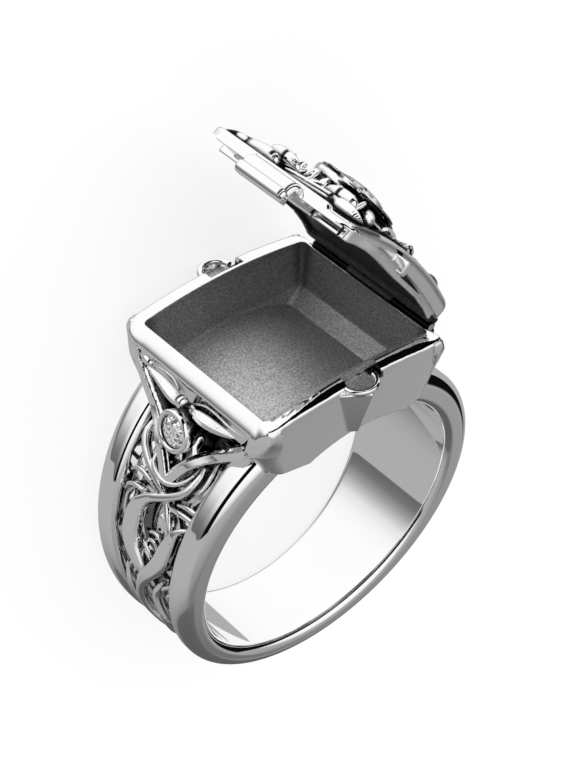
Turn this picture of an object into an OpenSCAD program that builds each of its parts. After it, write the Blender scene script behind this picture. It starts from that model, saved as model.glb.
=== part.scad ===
/* [Band] */
// Diameter of the finger hole
hole_d = 19.8; // [18:0.1:21]
// Outer radius of the rails
band_or = 11.85; // [11.7:0.05:12]
// How far the centre of the rails' outer circle sits above the hole's centre
band_rise = 0.4; // [0.3:0.05:0.5]
// Half width of the band level with the hole's centre
band_hw = 4.55; // [4.4:0.05:4.7]
// Growth of that half width for each millimetre upward
band_grow = 0.13; // [0.12:0.005:0.14]
// Width of each rail beside the vine channel
rail_w = 1.9; // [1.7:0.05:2]
// Thickness of the sleeve behind the vines
sleeve_t = 0.8; // [0.7:0.05:0.85]
// Lowest level that the vine channel reaches
channel_low = -8.6; // [-9:0.1:-8]

/* [Case] */
// Length of the case opening across the finger
open_x = 12.7; // [12.4:0.1:12.9]
// Length of the case opening along the finger
open_y = 11.7; // [11.4:0.1:11.9]
// Outer length of the rim across the finger
case_x = 14.9; // [14.8:0.05:15.1]
// Outer length of the rim along the finger
case_y = 13.7; // [13.6:0.05:13.9]
// Corner radius of the rim
case_r = 1.2; // [1:0.1:1.4]
// Level of the rim's crest at the middle of its arch
rim_top = 14.25; // [14.2:0.01:14.3]
// Radius of the rim's arch
arch_r = 34.4; // [33:0.1:36]

/* [Lid] */
// Angle at which the lid stands open
lid_open = 56; // [50:1:60]
// Thickness of the lid's plate
lid_t = 0.95; // [0.9:0.05:1.1]
// Height of the raised border on the lid
border_h = 0.5; // [0.4:0.05:0.6]
// Width of the raised border on the lid
border_w = 1.25; // [1.1:0.05:1.4]
// Depth of the locating lip under the lid
lip_h = 0.6; // [0.4:0.05:0.7]
// Diameter of the hinge pin
pin_d = 0.5; // [0.4:0.05:0.6]
// Radius of the hinge barrel
barrel_r = 0.55; // [0.5:0.01:0.58]

/* [Setting] */
// Outer diameter of each bezel
bezel_d = 2.84; // [2.7:0.02:3]
// Diameter of each stone
stone_d = 2.24; // [2.1:0.02:2.3]
// Upward tilt of each bezel's face
bezel_tilt = 15; // [12:1:18]

/* [Hidden] */
$fn = 96;

gap = 0.03;
hole_r = hole_d / 2;
sleeve_r = hole_r + sleeve_t;
arch_z = rim_top - arch_r;
lid_in_r = arch_r + 0.1;
lid_out_r = lid_in_r + lid_t;
hinge_x = 7.0;
hinge_z = 13.4;
knuckle_y = 2.05;
barrel_y = 5.5;
lid_x0 = -7.25;
lid_x1 = 6.85;
lid_hy = 6.45;

// Turn and shift that lay the ring on its side
lay_tilt = 11.16;
lay_roll = 0.85;
lay_move = [0, -7.39, 5.238];

module lay() {
  translate(lay_move) rotate([lay_tilt, lay_roll, 0]) rotate([-90, 0, 0])
    children();
}

// ---------- helpers ----------

// A cylinder of radius r about the hole's axis direction, centred on [x, z]
module ycyl(r, len, x = 0, z = 0, fn = 96) {
  translate([x, 0, z]) rotate([90, 0, 0])
    cylinder(r = r, h = len, center = true, $fn = fn);
}

// The slice of space between the two sloping side planes, inset by d
module side_slice(d, z0 = -14, z1 = 16) {
  hw = function (z) band_hw + band_grow * z - d;
  translate([-15, 0, 0]) rotate([90, 0, 90]) linear_extrude(30)
    polygon([[-hw(z0), z0], [hw(z0), z0], [hw(z1), z1], [-hw(z1), z1]]);
}

// An upright plate with rounded corners, from z0 to z1, centred
module block(x, y, r, z0, z1) {
  translate([0, 0, z0]) linear_extrude(z1 - z0) {
    square([x - 2 * r, y], center = true);
    square([x, y - 2 * r], center = true);
    for (a = [-1, 1], b = [-1, 1])
      translate([a * (x / 2 - r), b * (y / 2 - r)]) circle(r, $fn = 32);
  }
}

function unit(v) = v / norm(v);

// A tube of round section swept through points p with radii r; the flat
// factor k squashes the section along the direction up(i)
module sweep(p, r, up, k = 1, n = 8) {
  m = len(p);
  tan_ = [for (i = [0:m - 1])
    unit(p[min(i + 1, m - 1)] - p[max(i - 1, 0)])];
  pts = [for (i = [0:m - 1]) let (
      u = unit(up[i] - (up[i] * tan_[i]) * tan_[i]),
      s = cross(tan_[i], u))
    for (j = [0:n - 1]) let (a = 360 * j / n)
      p[i] + r[i] * (cos(a) * s + k * sin(a) * u)];
  sides = [for (i = [0:m - 2], j = [0:n - 1]) let (
      a = i * n + j, b = i * n + (j + 1) % n, c = a + n, d = b + n)
    each [[a, b, c], [b, d, c]]];
  ends = [[for (j = [n - 1:-1:0]) j],
          [for (j = [0:n - 1]) (m - 1) * n + j]];
  polyhedron(points = pts, faces = concat(sides, ends), convexity = 6);
}

// ---------- shank ----------

module shank_outer() { ycyl(band_or, 16, 0, band_rise, 128); }

module shank() {
  color("silver") lay() difference() {
    intersection() {
      union() {
        intersection() { shank_outer(); side_slice(0); }
        intersection() { ycyl(sleeve_r, 16, 0, 0, 128); side_slice(0); }
      }
      translate([-15, -10, -15]) cube([30, 20, 30]);
    }
    // finger hole
    ycyl(hole_r, 20, 0, 0, 128);
    // vine channel between the rails
    intersection() {
      difference() { ycyl(14, 16); ycyl(sleeve_r, 20); }
      side_slice(rail_w);
      translate([-15, -10, channel_low]) cube([30, 20, 30]);
    }
    // seat of the case
    difference() {
      case_body(gap);
      ycyl(sleeve_r, 20);
    }
    translate([-4.9, -8, 8]) difference() {
      cube([9.8, 16, 8]);
      translate([4.9, 8, -8]) ycyl(sleeve_r, 20);
    }
  }
}

// ---------- case ----------

// Outer form of the case: a tapered block below, upright rim above
module case_body(g = 0) {
  hull() {
    block(11.2 + 2 * g, 11.2 + 2 * g, 0.25, 7.95 - g, 8.05);
    block(case_x + 2 * g, case_y + 2 * g, case_r, 12.5, 12.6);
  }
  block(case_x + 2 * g, case_y + 2 * g, case_r, 12.55, 15);
}

// One side's V-shaped frame: columns y, x, z, radius, from corner to tip
V_FRAME = [[5.95, 7.15, 12.10, 0.42],
           [5.40, 7.45, 11.50, 0.42],
           [4.60, 7.75, 10.98, 0.42],
           [3.70, 7.98, 10.52, 0.42],
           [2.80, 8.22, 10.00, 0.42],
           [2.00, 8.50,  9.36, 0.42],
           [1.30, 8.82,  8.55, 0.42],
           [0.70, 9.15,  7.72, 0.42],
           [0.00, 9.45,  6.95, 0.42]];

module v_leg(sx, sy) {
  sweep([for (v = V_FRAME) [sx * v[1], sy * v[0], v[2]]],
        [for (v = V_FRAME) v[3]],
        [for (v = V_FRAME) [sx * 0.94, 0, 0.35]], 1.15, 8);
}

// Half ring outside the rim's notch
module loop_ring(sy) {
  intersection() {
    translate([0.15, sy * 6.6, 13.78]) rotate_extrude($fn = 48)
      translate([1.1, 0]) circle(0.18, $fn = 16);
    translate([-3, sy * 8.4 - 1.5, 13]) cube([6, 3, 2]);
  }
}

// Pointed bracket that carries the half ring, drawn on the -Y side
module bracket() {
  polyhedron(
    points = [[-1.62, -6.7, 13.65], [1.78, -6.7, 13.65],
              [0.08, -8.03, 13.65], [0.45, -5.88, 9.35]],
    faces = [[0, 1, 2], [0, 2, 3], [2, 1, 3], [1, 0, 3]]);
}

module case() {
  color("gainsboro") lay() {
    difference() {
      union() {
        intersection() {
          case_body();
          ycyl(arch_r, 20, 0, arch_z, 256);
        }
        for (sx = [-1, 1], sy = [-1, 1]) v_leg(sx, sy);
        // outer knuckles
        for (sy = [-1, 1]) translate([0, sy * (knuckle_y + barrel_y) / 2, 0])
          ycyl(barrel_r, barrel_y - knuckle_y - 2 * gap, hinge_x, hinge_z, 48);
      }
      // inside of the case
      hull() {
        block(open_x - 0.9, open_y - 0.6, 0.2, 10.6, 10.61);
        block(open_x, open_y, 0.2, 13.3, 16);
      }
      hull() {
        block(10, 11, 0.2, 7, 9.7);
        block(open_x - 0.9, open_y - 0.6, 0.2, 10.6, 10.62);
      }
      // seat on the sleeve
      ycyl(sleeve_r + gap, 20, 0, 0, 128);
      // rim notches
      for (sy = [-1, 1]) translate([-0.9, sy * 6.28 - 0.62, 13.45])
        cube([2.6, 1.24, 2]);
      // room for the lid's knuckle, and the pin hole
      ycyl(barrel_r + 0.07, 2 * knuckle_y + 2 * gap, hinge_x, hinge_z, 48);
      translate([hinge_x - 0.1, -knuckle_y - gap, hinge_z])
        cube([1, 2 * knuckle_y + 2 * gap, 1]);
      ycyl(pin_d / 2 + 0.02, 20, hinge_x, hinge_z, 48);
    }
    for (m = [0, 1]) mirror([0, m, 0]) bracket();
    for (sy = [-1, 1]) loop_ring(sy);
  }
}

// ---------- filigree ----------

// Angles run from the top of the band down its side, r is from the axis.
// Columns: angle, y, r, radius of the vine
VINES = [
  [[44, -2.7, 11.2, .40], [49, -2.1, 11.4, .46], [55, -1.5, 11.5, .52],
   [61, -0.4, 11.55, .55], [66, 0.7, 11.5, .58], [71, 1.5, 11.5, .60],
   [77, 1.95, 11.45, .62], [83, 1.75, 11.4, .56], [89, 1.05, 11.3, .48],
   [95, 0.15, 11.2, .40], [100, -0.6, 11.1, .34]],
  [[64, -2.55, 11.2, .30], [69, -2.2, 11.4, .42], [74, -1.75, 11.45, .50],
   [81, -1.35, 11.5, .55], [87, -0.75, 11.5, .56], [93, 0.0, 11.55, .55],
   [100, 0.6, 11.5, .52], [108, 0.7, 11.45, .46], [116, 0.3, 11.4, .42],
   [124, -0.2, 11.3, .36], [132, -0.3, 11.2, .30]],
  [[94, -0.7, 11.2, .34], [101, -0.8, 11.4, .42], [109, -0.8, 11.5, .46],
   [118, -0.5, 11.5, .42], [128, 0.1, 11.3, .34], [137, 0.3, 11.1, .28]],
  [[38, 3.6, 11.0, .24], [46, 3.2, 11.1, .28], [52, 2.5, 11.15, .32],
   [58, 1.4, 11.15, .32], [64, 0.3, 11.15, .32], [70, -0.7, 11.15, .32],
   [77, -1.3, 11.15, .30]],
  [[50, 3.9, 10.95, .20], [55, 3.5, 11.1, .38], [60, 2.9, 11.15, .42],
   [64, 2.1, 11.15, .34], [67, 1.4, 11.15, .24]],
  [[38, 1.6, 10.95, .24], [44, 2.1, 11.05, .28], [50, 1.9, 11.1, .30],
   [56, 1.2, 11.1, .28], [61, 0.4, 11.1, .26]],
  [[42, -2.2, 11.0, .26], [47, -3.1, 11.05, .28], [52, -3.2, 11.1, .32],
   [57, -2.8, 11.15, .36], [62, -2.2, 11.15, .30], [67, -1.9, 11.2, .24]],
  [[72, 1.3, 11.0, .24], [77, 0.4, 11.05, .34], [83, -0.5, 11.1, .32],
   [88, -0.9, 11.1, .24]],
  [[38, -2.4, 11.0, .22], [41, -0.8, 11.05, .28], [47, 0.4, 11.1, .28],
   [53, 0.0, 11.1, .28], [58, -0.6, 11.1, .26]]
];

// A point on the side sx of the band
function on_band(a, y, r, sx) = [sx * r * sin(a), y, r * cos(a)];

// Points between the rows of a vine, on a smooth cubic through them
function spline(t, p0, p1, p2, p3) = 0.5 * ((2 * p1) + (p2 - p0) * t
  + (2 * p0 - 5 * p1 + 4 * p2 - p3) * t * t
  + (3 * p1 - p0 - 3 * p2 + p3) * t * t * t);
function smooth(rows, k) = let (m = len(rows)) [
  for (i = [0:m - 2], s = [0:k - 1])
    spline(s / k, rows[max(i - 1, 0)], rows[i], rows[i + 1],
           rows[min(i + 2, m - 1)]),
  rows[m - 1]];

module vine(rows, sx) {
  q = smooth(rows, 3);
  sweep([for (v = q) on_band(v[0], v[1], v[2], sx)], [for (v = q) v[3]],
        [for (v = q) on_band(v[0], 0, 1, sx)], 0.9, 8);
}

// Vines of one side, kept clear of the sleeve and of the case
module filigree(sx) {
  intersection() {
    difference() {
      union() for (v = VINES) vine(v, sx);
      ycyl(sleeve_r + gap, 20);
    }
    side_slice(rail_w + gap, -12, 14);
    translate([-15, -10, channel_low + gap]) cube([30, 20, 18.2]);
  }
}

module filigree_left() { color("darkgray") lay() filigree_cut(-1); }
module filigree_right() { color("darkgray") lay() filigree_cut(1); }
module filigree_cut(sx) {
  difference() {
    filigree(sx);
    case_body(0.06);
    for (sy = [-1, 1])
      sweep([for (v = V_FRAME) [sx * v[1], sy * v[0], v[2]]],
            [for (v = V_FRAME) v[3] + 0.05],
            [for (v = V_FRAME) [sx * 0.94, 0, 0.35]], 1.15, 8);
  }
}

// ---------- setting ----------

bezel_c = [8.5, 0.1, 10.05];

// Places children with +Z out of the bezel's face on side sx
module at_bezel(sx) {
  translate([sx * bezel_c[0], bezel_c[1], bezel_c[2]])
    rotate([0, sx * (90 - bezel_tilt), 0]) children();
}

module bezel(sx) {
  lay() difference() {
    at_bezel(sx) rotate_extrude($fn = 64) polygon([
      [0, -2.6], [0.75, -2.6], [0.75, -1.3], [1.05, -0.9], [bezel_d / 2 - 0.1, -0.55],
      [bezel_d / 2, 0.0], [bezel_d / 2 - 0.1, 0.34],
      [stone_d / 2 + 0.03, 0.34], [stone_d / 2 + 0.03, -0.12],
      [0.5, -0.75], [0, -0.95]]);
    case_body(0.05);
    for (sy = [-1, 1])
      sweep([for (v = V_FRAME) [sx * v[1], sy * v[0], v[2]]],
            [for (v = V_FRAME) v[3] + 0.05],
            [for (v = V_FRAME) [sx * 0.94, 0, 0.35]], 1.15, 8);
  }
}
module bezel_left() { color("silver") bezel(-1); }
module bezel_right() { color("silver") bezel(1); }

module stone(sx) {
  lay() at_bezel(sx) rotate_extrude($fn = 32) polygon([
    [0, -0.80], [stone_d / 2, -0.06], [stone_d / 2, 0.02],
    [stone_d / 2 * 0.58, 0.30], [0, 0.30]]);
}
module stone_left() { color("white") stone(-1); }
module stone_right() { color("white") stone(1); }

// Petals and bud: columns y, x, z, radius
PETAL_A = [[3.60, 7.62, 12.02, .10], [3.00, 7.72, 11.90, .27],
           [2.30, 7.80, 11.75, .38], [1.60, 7.84, 11.62, .44],
           [1.00, 7.84, 11.52, .40], [0.75, 7.82, 11.48, .25]];
PETAL_B = [[-1.55, 7.78, 11.72, .22], [-1.85, 7.82, 11.76, .40],
           [-2.50, 7.80, 11.86, .43], [-3.30, 7.72, 12.00, .36],
           [-4.10, 7.62, 12.10, .24], [-4.75, 7.55, 12.15, .10]];
module petals(sx) {
  lay() difference() {
    union() {
      for (t = [PETAL_A, PETAL_B])
        sweep([for (v = t) [sx * v[1], v[0], v[2]]], [for (v = t) v[3]],
              [for (v = t) [sx, 0, 0.2]], 0.8, 10);
      translate([sx * 7.95, 0.30, 11.75]) sphere(0.5, $fn = 32);
      translate([sx * 7.78, -0.60, 11.72]) sphere(0.34, $fn = 24);
      sweep([[sx * 7.85, 0.9, 11.5], [sx * 7.75, 0, 11.6],
             [sx * 7.75, -0.9, 11.65], [sx * 7.8, -1.7, 11.75]],
            [.2, .22, .22, .2], [for (i = [0:3]) [sx, 0, 0.1]], 1, 8);
    }
    case_body(gap);
    at_bezel(sx) cylinder(r = bezel_d / 2 + gap, h = 4, center = true,
                          $fn = 64);
    for (sy = [-1, 1])
      sweep([for (v = V_FRAME) [sx * v[1], sy * v[0], v[2]]],
            [for (v = V_FRAME) v[3] + 0.04],
            [for (v = V_FRAME) [sx * 0.94, 0, 0.35]], 1.15, 8);
  }
}
module petals_left() { color("silver") petals(-1); }
module petals_right() { color("silver") petals(1); }

// ---------- hinge ----------

module hinge_pin() {
  color("dimgray") lay()
    ycyl(pin_d / 2, 2 * barrel_y - 0.1, hinge_x, hinge_z, 48);
}

// ---------- lid, drawn shut and then turned open about the pin ----------

module opened() {
  translate([hinge_x, 0, hinge_z]) rotate([0, lid_open, 0])
    translate([-hinge_x, 0, -hinge_z]) children();
}

module lid_plan(d, z0, z1, r = 1.3) {
  translate([(lid_x0 + lid_x1) / 2, 0, 0])
    block(lid_x1 - lid_x0 - 2 * d, 2 * (lid_hy - d), max(r - d, 0.2), z0, z1);
}

module lid() {
  color("silver") lay() opened() difference() {
    union() {
      // plate
      intersection() {
        lid_plan(0, 11, 17.5);
        difference() {
          ycyl(lid_out_r, 20, 0, arch_z, 256);
          ycyl(lid_in_r, 22, 0, arch_z, 256);
        }
      }
      // raised border
      intersection() {
        difference() { lid_plan(0.1, 11, 18); lid_plan(border_w, 10, 19); }
        difference() {
          ycyl(lid_out_r + border_h, 20, 0, arch_z, 256);
          ycyl(lid_out_r - 0.1, 22, 0, arch_z, 256);
        }
      }
      // locating lip
      intersection() {
        difference() {
          block(open_x - 0.8, open_y - 0.7, 0.4, 11, 17);
          block(open_x - 1.8, open_y - 1.7, 0.3, 10, 18);
          translate([4.6, -10, 10]) cube([5, 20, 10]);
        }
        difference() {
          ycyl(lid_in_r + 0.1, 20, 0, arch_z, 256);
          ycyl(lid_in_r - 0.1 - lip_h, 22, 0, arch_z, 256);
        }
      }
      // side tabs
      for (sy = [-1, 1]) translate([-0.7, sy * 6.5 - 0.35, 13.75])
        cube([2.2, 0.7, 1.0]);
      // middle knuckle
      ycyl(barrel_r, 2 * knuckle_y - 2 * gap, hinge_x, hinge_z, 48);
    }
    // room for the outer knuckles, and the pin hole
    for (sy = [-1, 1]) translate([0, sy * (knuckle_y + 5), 0])
      ycyl(barrel_r + 0.08, 10, hinge_x, hinge_z, 48);
    ycyl(pin_d / 2 + 0.02, 20, hinge_x, hinge_z, 48);
    // room for the catch
    translate([-9, -2.55, 12]) cube([2.25, 5.1, 4.5]);
  }
}

// Scrolls in relief on the lid: columns x, y, half width, height
SCROLLS = [
  [[-5.1, 4.2, .35, .45], [-4.4, 4.7, .42, .65], [-3.3, 4.7, .48, .80],
   [-2.4, 4.1, .50, .90], [-2.1, 3.1, .50, .90], [-2.8, 2.4, .45, .80],
   [-3.7, 2.6, .38, .65], [-3.9, 3.3, .30, .50]],
  [[-5.1, -4.2, .35, .45], [-4.4, -4.7, .42, .65], [-3.3, -4.7, .48, .80],
   [-2.4, -4.1, .50, .90], [-2.1, -3.1, .50, .90], [-2.8, -2.4, .45, .80],
   [-3.7, -2.6, .38, .65], [-3.9, -3.3, .30, .50]],
  [[4.9, 4.1, .32, .40], [4.2, 4.6, .40, .60], [3.1, 4.6, .46, .75],
   [2.3, 4.0, .48, .85], [2.1, 3.1, .45, .85], [2.9, 2.5, .38, .65],
   [3.6, 2.9, .30, .50]],
  [[4.9, -4.1, .32, .40], [4.2, -4.6, .40, .60], [3.1, -4.6, .46, .75],
   [2.3, -4.0, .48, .85], [2.1, -3.1, .45, .85], [2.9, -2.5, .38, .65],
   [3.6, -2.9, .30, .50]],
  [[-5.7, 0, .25, .35], [-4.7, 0, .60, .75], [-3.5, 0, .80, .95],
   [-2.2, 0, .60, .90]],
  [[5.3, 0, .25, .30], [4.4, 0, .55, .65], [3.3, 0, .70, .85],
   [2.2, 0, .55, .80]],
  [[0, 4.9, .25, .35], [0, 4.1, .60, .75], [0, 3.2, .75, .90],
   [0, 2.2, .60, .85]],
  [[0, -4.9, .25, .35], [0, -4.1, .60, .75], [0, -3.2, .75, .90],
   [0, -2.2, .60, .85]]
];

// A point on the lid's outer face, clear of it by the gap
function on_lid(x, y) =
  [x, y, arch_z + sqrt(pow(lid_out_r + gap, 2) - x * x)];

// A bar of half-round section, half width w, height h, on the lid's face
module relief(rows) {
  q = smooth(rows, 3);
  m = len(q);
  p = [for (v = q) on_lid(v[0], v[1])];
  tan_ = [for (i = [0:m - 1])
    unit(p[min(i + 1, m - 1)] - p[max(i - 1, 0)])];
  k = 7;
  pts = [for (i = [0:m - 1]) let (
      up = [p[i][0] / lid_out_r, 0, 1],
      u = unit(up - (up * tan_[i]) * tan_[i]), s = cross(tan_[i], u))
    for (j = [0:k - 1]) let (a = 180 * j / (k - 1))
      p[i] + q[i][2] * cos(a) * s + q[i][3] * sin(a) * u];
  sides = [for (i = [0:m - 2], j = [0:k - 1]) let (
      a = i * k + j, b = i * k + (j + 1) % k, c = a + k, d = b + k)
    each [[a, b, c], [b, d, c]]];
  ends = [[for (j = [k - 1:-1:0]) j],
          [for (j = [0:k - 1]) (m - 1) * k + j]];
  polyhedron(points = pts, faces = concat(sides, ends), convexity = 6);
}

module lid_ornament() {
  color("whitesmoke") lay() opened() {
    for (t = SCROLLS) relief(t);
    // medallion
    translate([0, 0, rim_top + 0.1 + lid_t + gap]) rotate_extrude($fn = 64)
      polygon([[0, 0], [2.45, 0], [2.45, 0.6], [2.2, 0.95],
               [1.75, 1.05], [1.5, 0.8], [1.2, 0.85], [0.7, 1.35],
               [0, 1.5]]);
  }
}

module catch() {
  color("silver") lay() opened() translate([0, 2.45, 0])
    rotate([90, 0, 0]) linear_extrude(4.9) polygon([
      [-6.80, 13.75], [-6.80, 14.75], [-7.05, 15.02], [-7.60, 15.0],
      [-8.05, 14.7], [-8.30, 14.2], [-8.30, 13.6], [-8.05, 13.25],
      [-8.10, 12.45], [-7.60, 12.30], [-7.60, 13.45]]);
}

shank();
case();
filigree_left();
filigree_right();
bezel_left();
bezel_right();
stone_left();
stone_right();
petals_left();
petals_right();
hinge_pin();
lid();
lid_ornament();
catch();
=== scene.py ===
import math
import bpy
import numpy as np
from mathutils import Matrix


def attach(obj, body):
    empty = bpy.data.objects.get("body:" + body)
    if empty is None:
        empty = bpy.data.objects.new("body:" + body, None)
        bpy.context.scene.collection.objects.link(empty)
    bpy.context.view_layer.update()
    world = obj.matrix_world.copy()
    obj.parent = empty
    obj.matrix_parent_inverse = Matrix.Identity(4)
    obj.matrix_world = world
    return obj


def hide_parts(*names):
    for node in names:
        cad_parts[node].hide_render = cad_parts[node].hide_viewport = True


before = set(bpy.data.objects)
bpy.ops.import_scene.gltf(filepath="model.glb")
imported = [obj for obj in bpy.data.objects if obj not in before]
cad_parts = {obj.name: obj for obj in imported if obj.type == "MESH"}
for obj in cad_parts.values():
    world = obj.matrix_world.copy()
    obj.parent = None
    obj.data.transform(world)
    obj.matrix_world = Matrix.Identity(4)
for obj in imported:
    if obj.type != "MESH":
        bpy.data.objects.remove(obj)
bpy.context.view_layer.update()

H = 1.0        # mesh pitch factor

# ------------------------------------------------------------------ frames
# Everything is drawn in the ring frame, in millimetres: origin at the middle
# of the finger hole, Y along the hole, Z toward the case. lay() turns the ring
# onto its side and puts it where the CAD is, in metres.
TILT, ROLL, MOVE = 11.16, 0.85, np.array([0.0, -7.39, 5.238])


def rot_x(a):
    a = math.radians(a); c, s = math.cos(a), math.sin(a)
    return np.array([[1, 0, 0], [0, c, -s], [0, s, c]])


def rot_y(a):
    a = math.radians(a); c, s = math.cos(a), math.sin(a)
    return np.array([[c, 0, s], [0, 1, 0], [-s, 0, c]])


LAY = rot_y(ROLL) @ rot_x(TILT) @ rot_x(-90)


def lay(p):
    return (np.asarray(p, float) @ LAY.T + MOVE) * 0.001


def lay_dir(v):
    return np.asarray(v, float) @ LAY.T


HINGE = np.array([7.0, 0.0, 13.4])
LID_OPEN = 56.0
LID_R = rot_y(LID_OPEN)


def opened(p):
    return (np.asarray(p, float) - HINGE) @ LID_R.T + HINGE


def opened_dir(v):
    return np.asarray(v, float) @ LID_R.T


# ------------------------------------------------------------------ distance fields
def rrect(x, y, hx, hy, r):
    qx = np.abs(x) - hx + r
    qy = np.abs(y) - hy + r
    return np.hypot(np.maximum(qx, 0), np.maximum(qy, 0)) + np.minimum(np.maximum(qx, qy), 0) - r


def box(x, y, z, hx, hy, hz, r=0.0):
    qx = np.abs(x) - hx + r
    qy = np.abs(y) - hy + r
    qz = np.abs(z) - hz + r
    out = np.sqrt(np.maximum(qx, 0) ** 2 + np.maximum(qy, 0) ** 2 + np.maximum(qz, 0) ** 2)
    return out + np.minimum(np.maximum(np.maximum(qx, qy), qz), 0) - r


def rmax(a, b, r):
    """Intersection with a round edge of radius r."""
    return np.minimum(np.maximum(a, b), -r) + np.hypot(np.maximum(a + r, 0), np.maximum(b + r, 0))


def rmin(a, b, r):
    """Union with a round fillet of radius r."""
    return np.maximum(np.minimum(a, b), r) - np.hypot(np.maximum(r - a, 0), np.maximum(r - b, 0))


def smin(a, b, k):
    h = np.maximum(k - np.abs(a - b), 0) / k
    return np.minimum(a, b) - h * h * k * 0.25


def plane3(p1, p2, p3, inside):
    """Outward normal and offset of the plane through three points."""
    p1, p2, p3, inside = map(lambda v: np.array(v, float), (p1, p2, p3, inside))
    n = np.cross(p2 - p1, p3 - p1)
    n /= np.linalg.norm(n)
    if (inside - p1) @ n > 0:
        n = -n
    return n, n @ p1


def catmull(rows, k):
    rows = np.array(rows, float)
    m = len(rows)
    out = []
    for i in range(m - 1):
        p0, p1, p2, p3 = rows[max(i - 1, 0)], rows[i], rows[i + 1], rows[min(i + 2, m - 1)]
        for s in range(k):
            t = s / k
            out.append(0.5 * (2 * p1 + (p2 - p0) * t + (2 * p0 - 5 * p1 + 4 * p2 - p3) * t * t
                              + (3 * p1 - p0 - 3 * p2 + p3) * t ** 3))
    out.append(rows[-1])
    return np.array(out)


def near_line(u, v, q):
    """Distance in the plane from (u, v) to polyline q, signed by side, and the
    further columns of q there."""
    best = np.full(u.shape, 1e9)
    sgn = np.ones(u.shape)
    cols = [np.zeros(u.shape) for _ in range(q.shape[1] - 2)]
    for i in range(len(q) - 1):
        a, b = q[i], q[i + 1]
        du, dv = b[0] - a[0], b[1] - a[1]
        L = du * du + dv * dv + 1e-12
        pu, pv = u - a[0], v - a[1]
        t = np.clip((pu * du + pv * dv) / L, 0, 1)
        eu, ev = pu - t * du, pv - t * dv
        d = eu * eu + ev * ev
        m = d < best
        best = np.where(m, d, best)
        sgn = np.where(m, np.sign(du * pv - dv * pu), sgn)
        for j in range(len(cols)):
            cols[j] = np.where(m, a[2 + j] + t * (b[2 + j] - a[2 + j]), cols[j])
    return np.sqrt(best), sgn, cols


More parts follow.
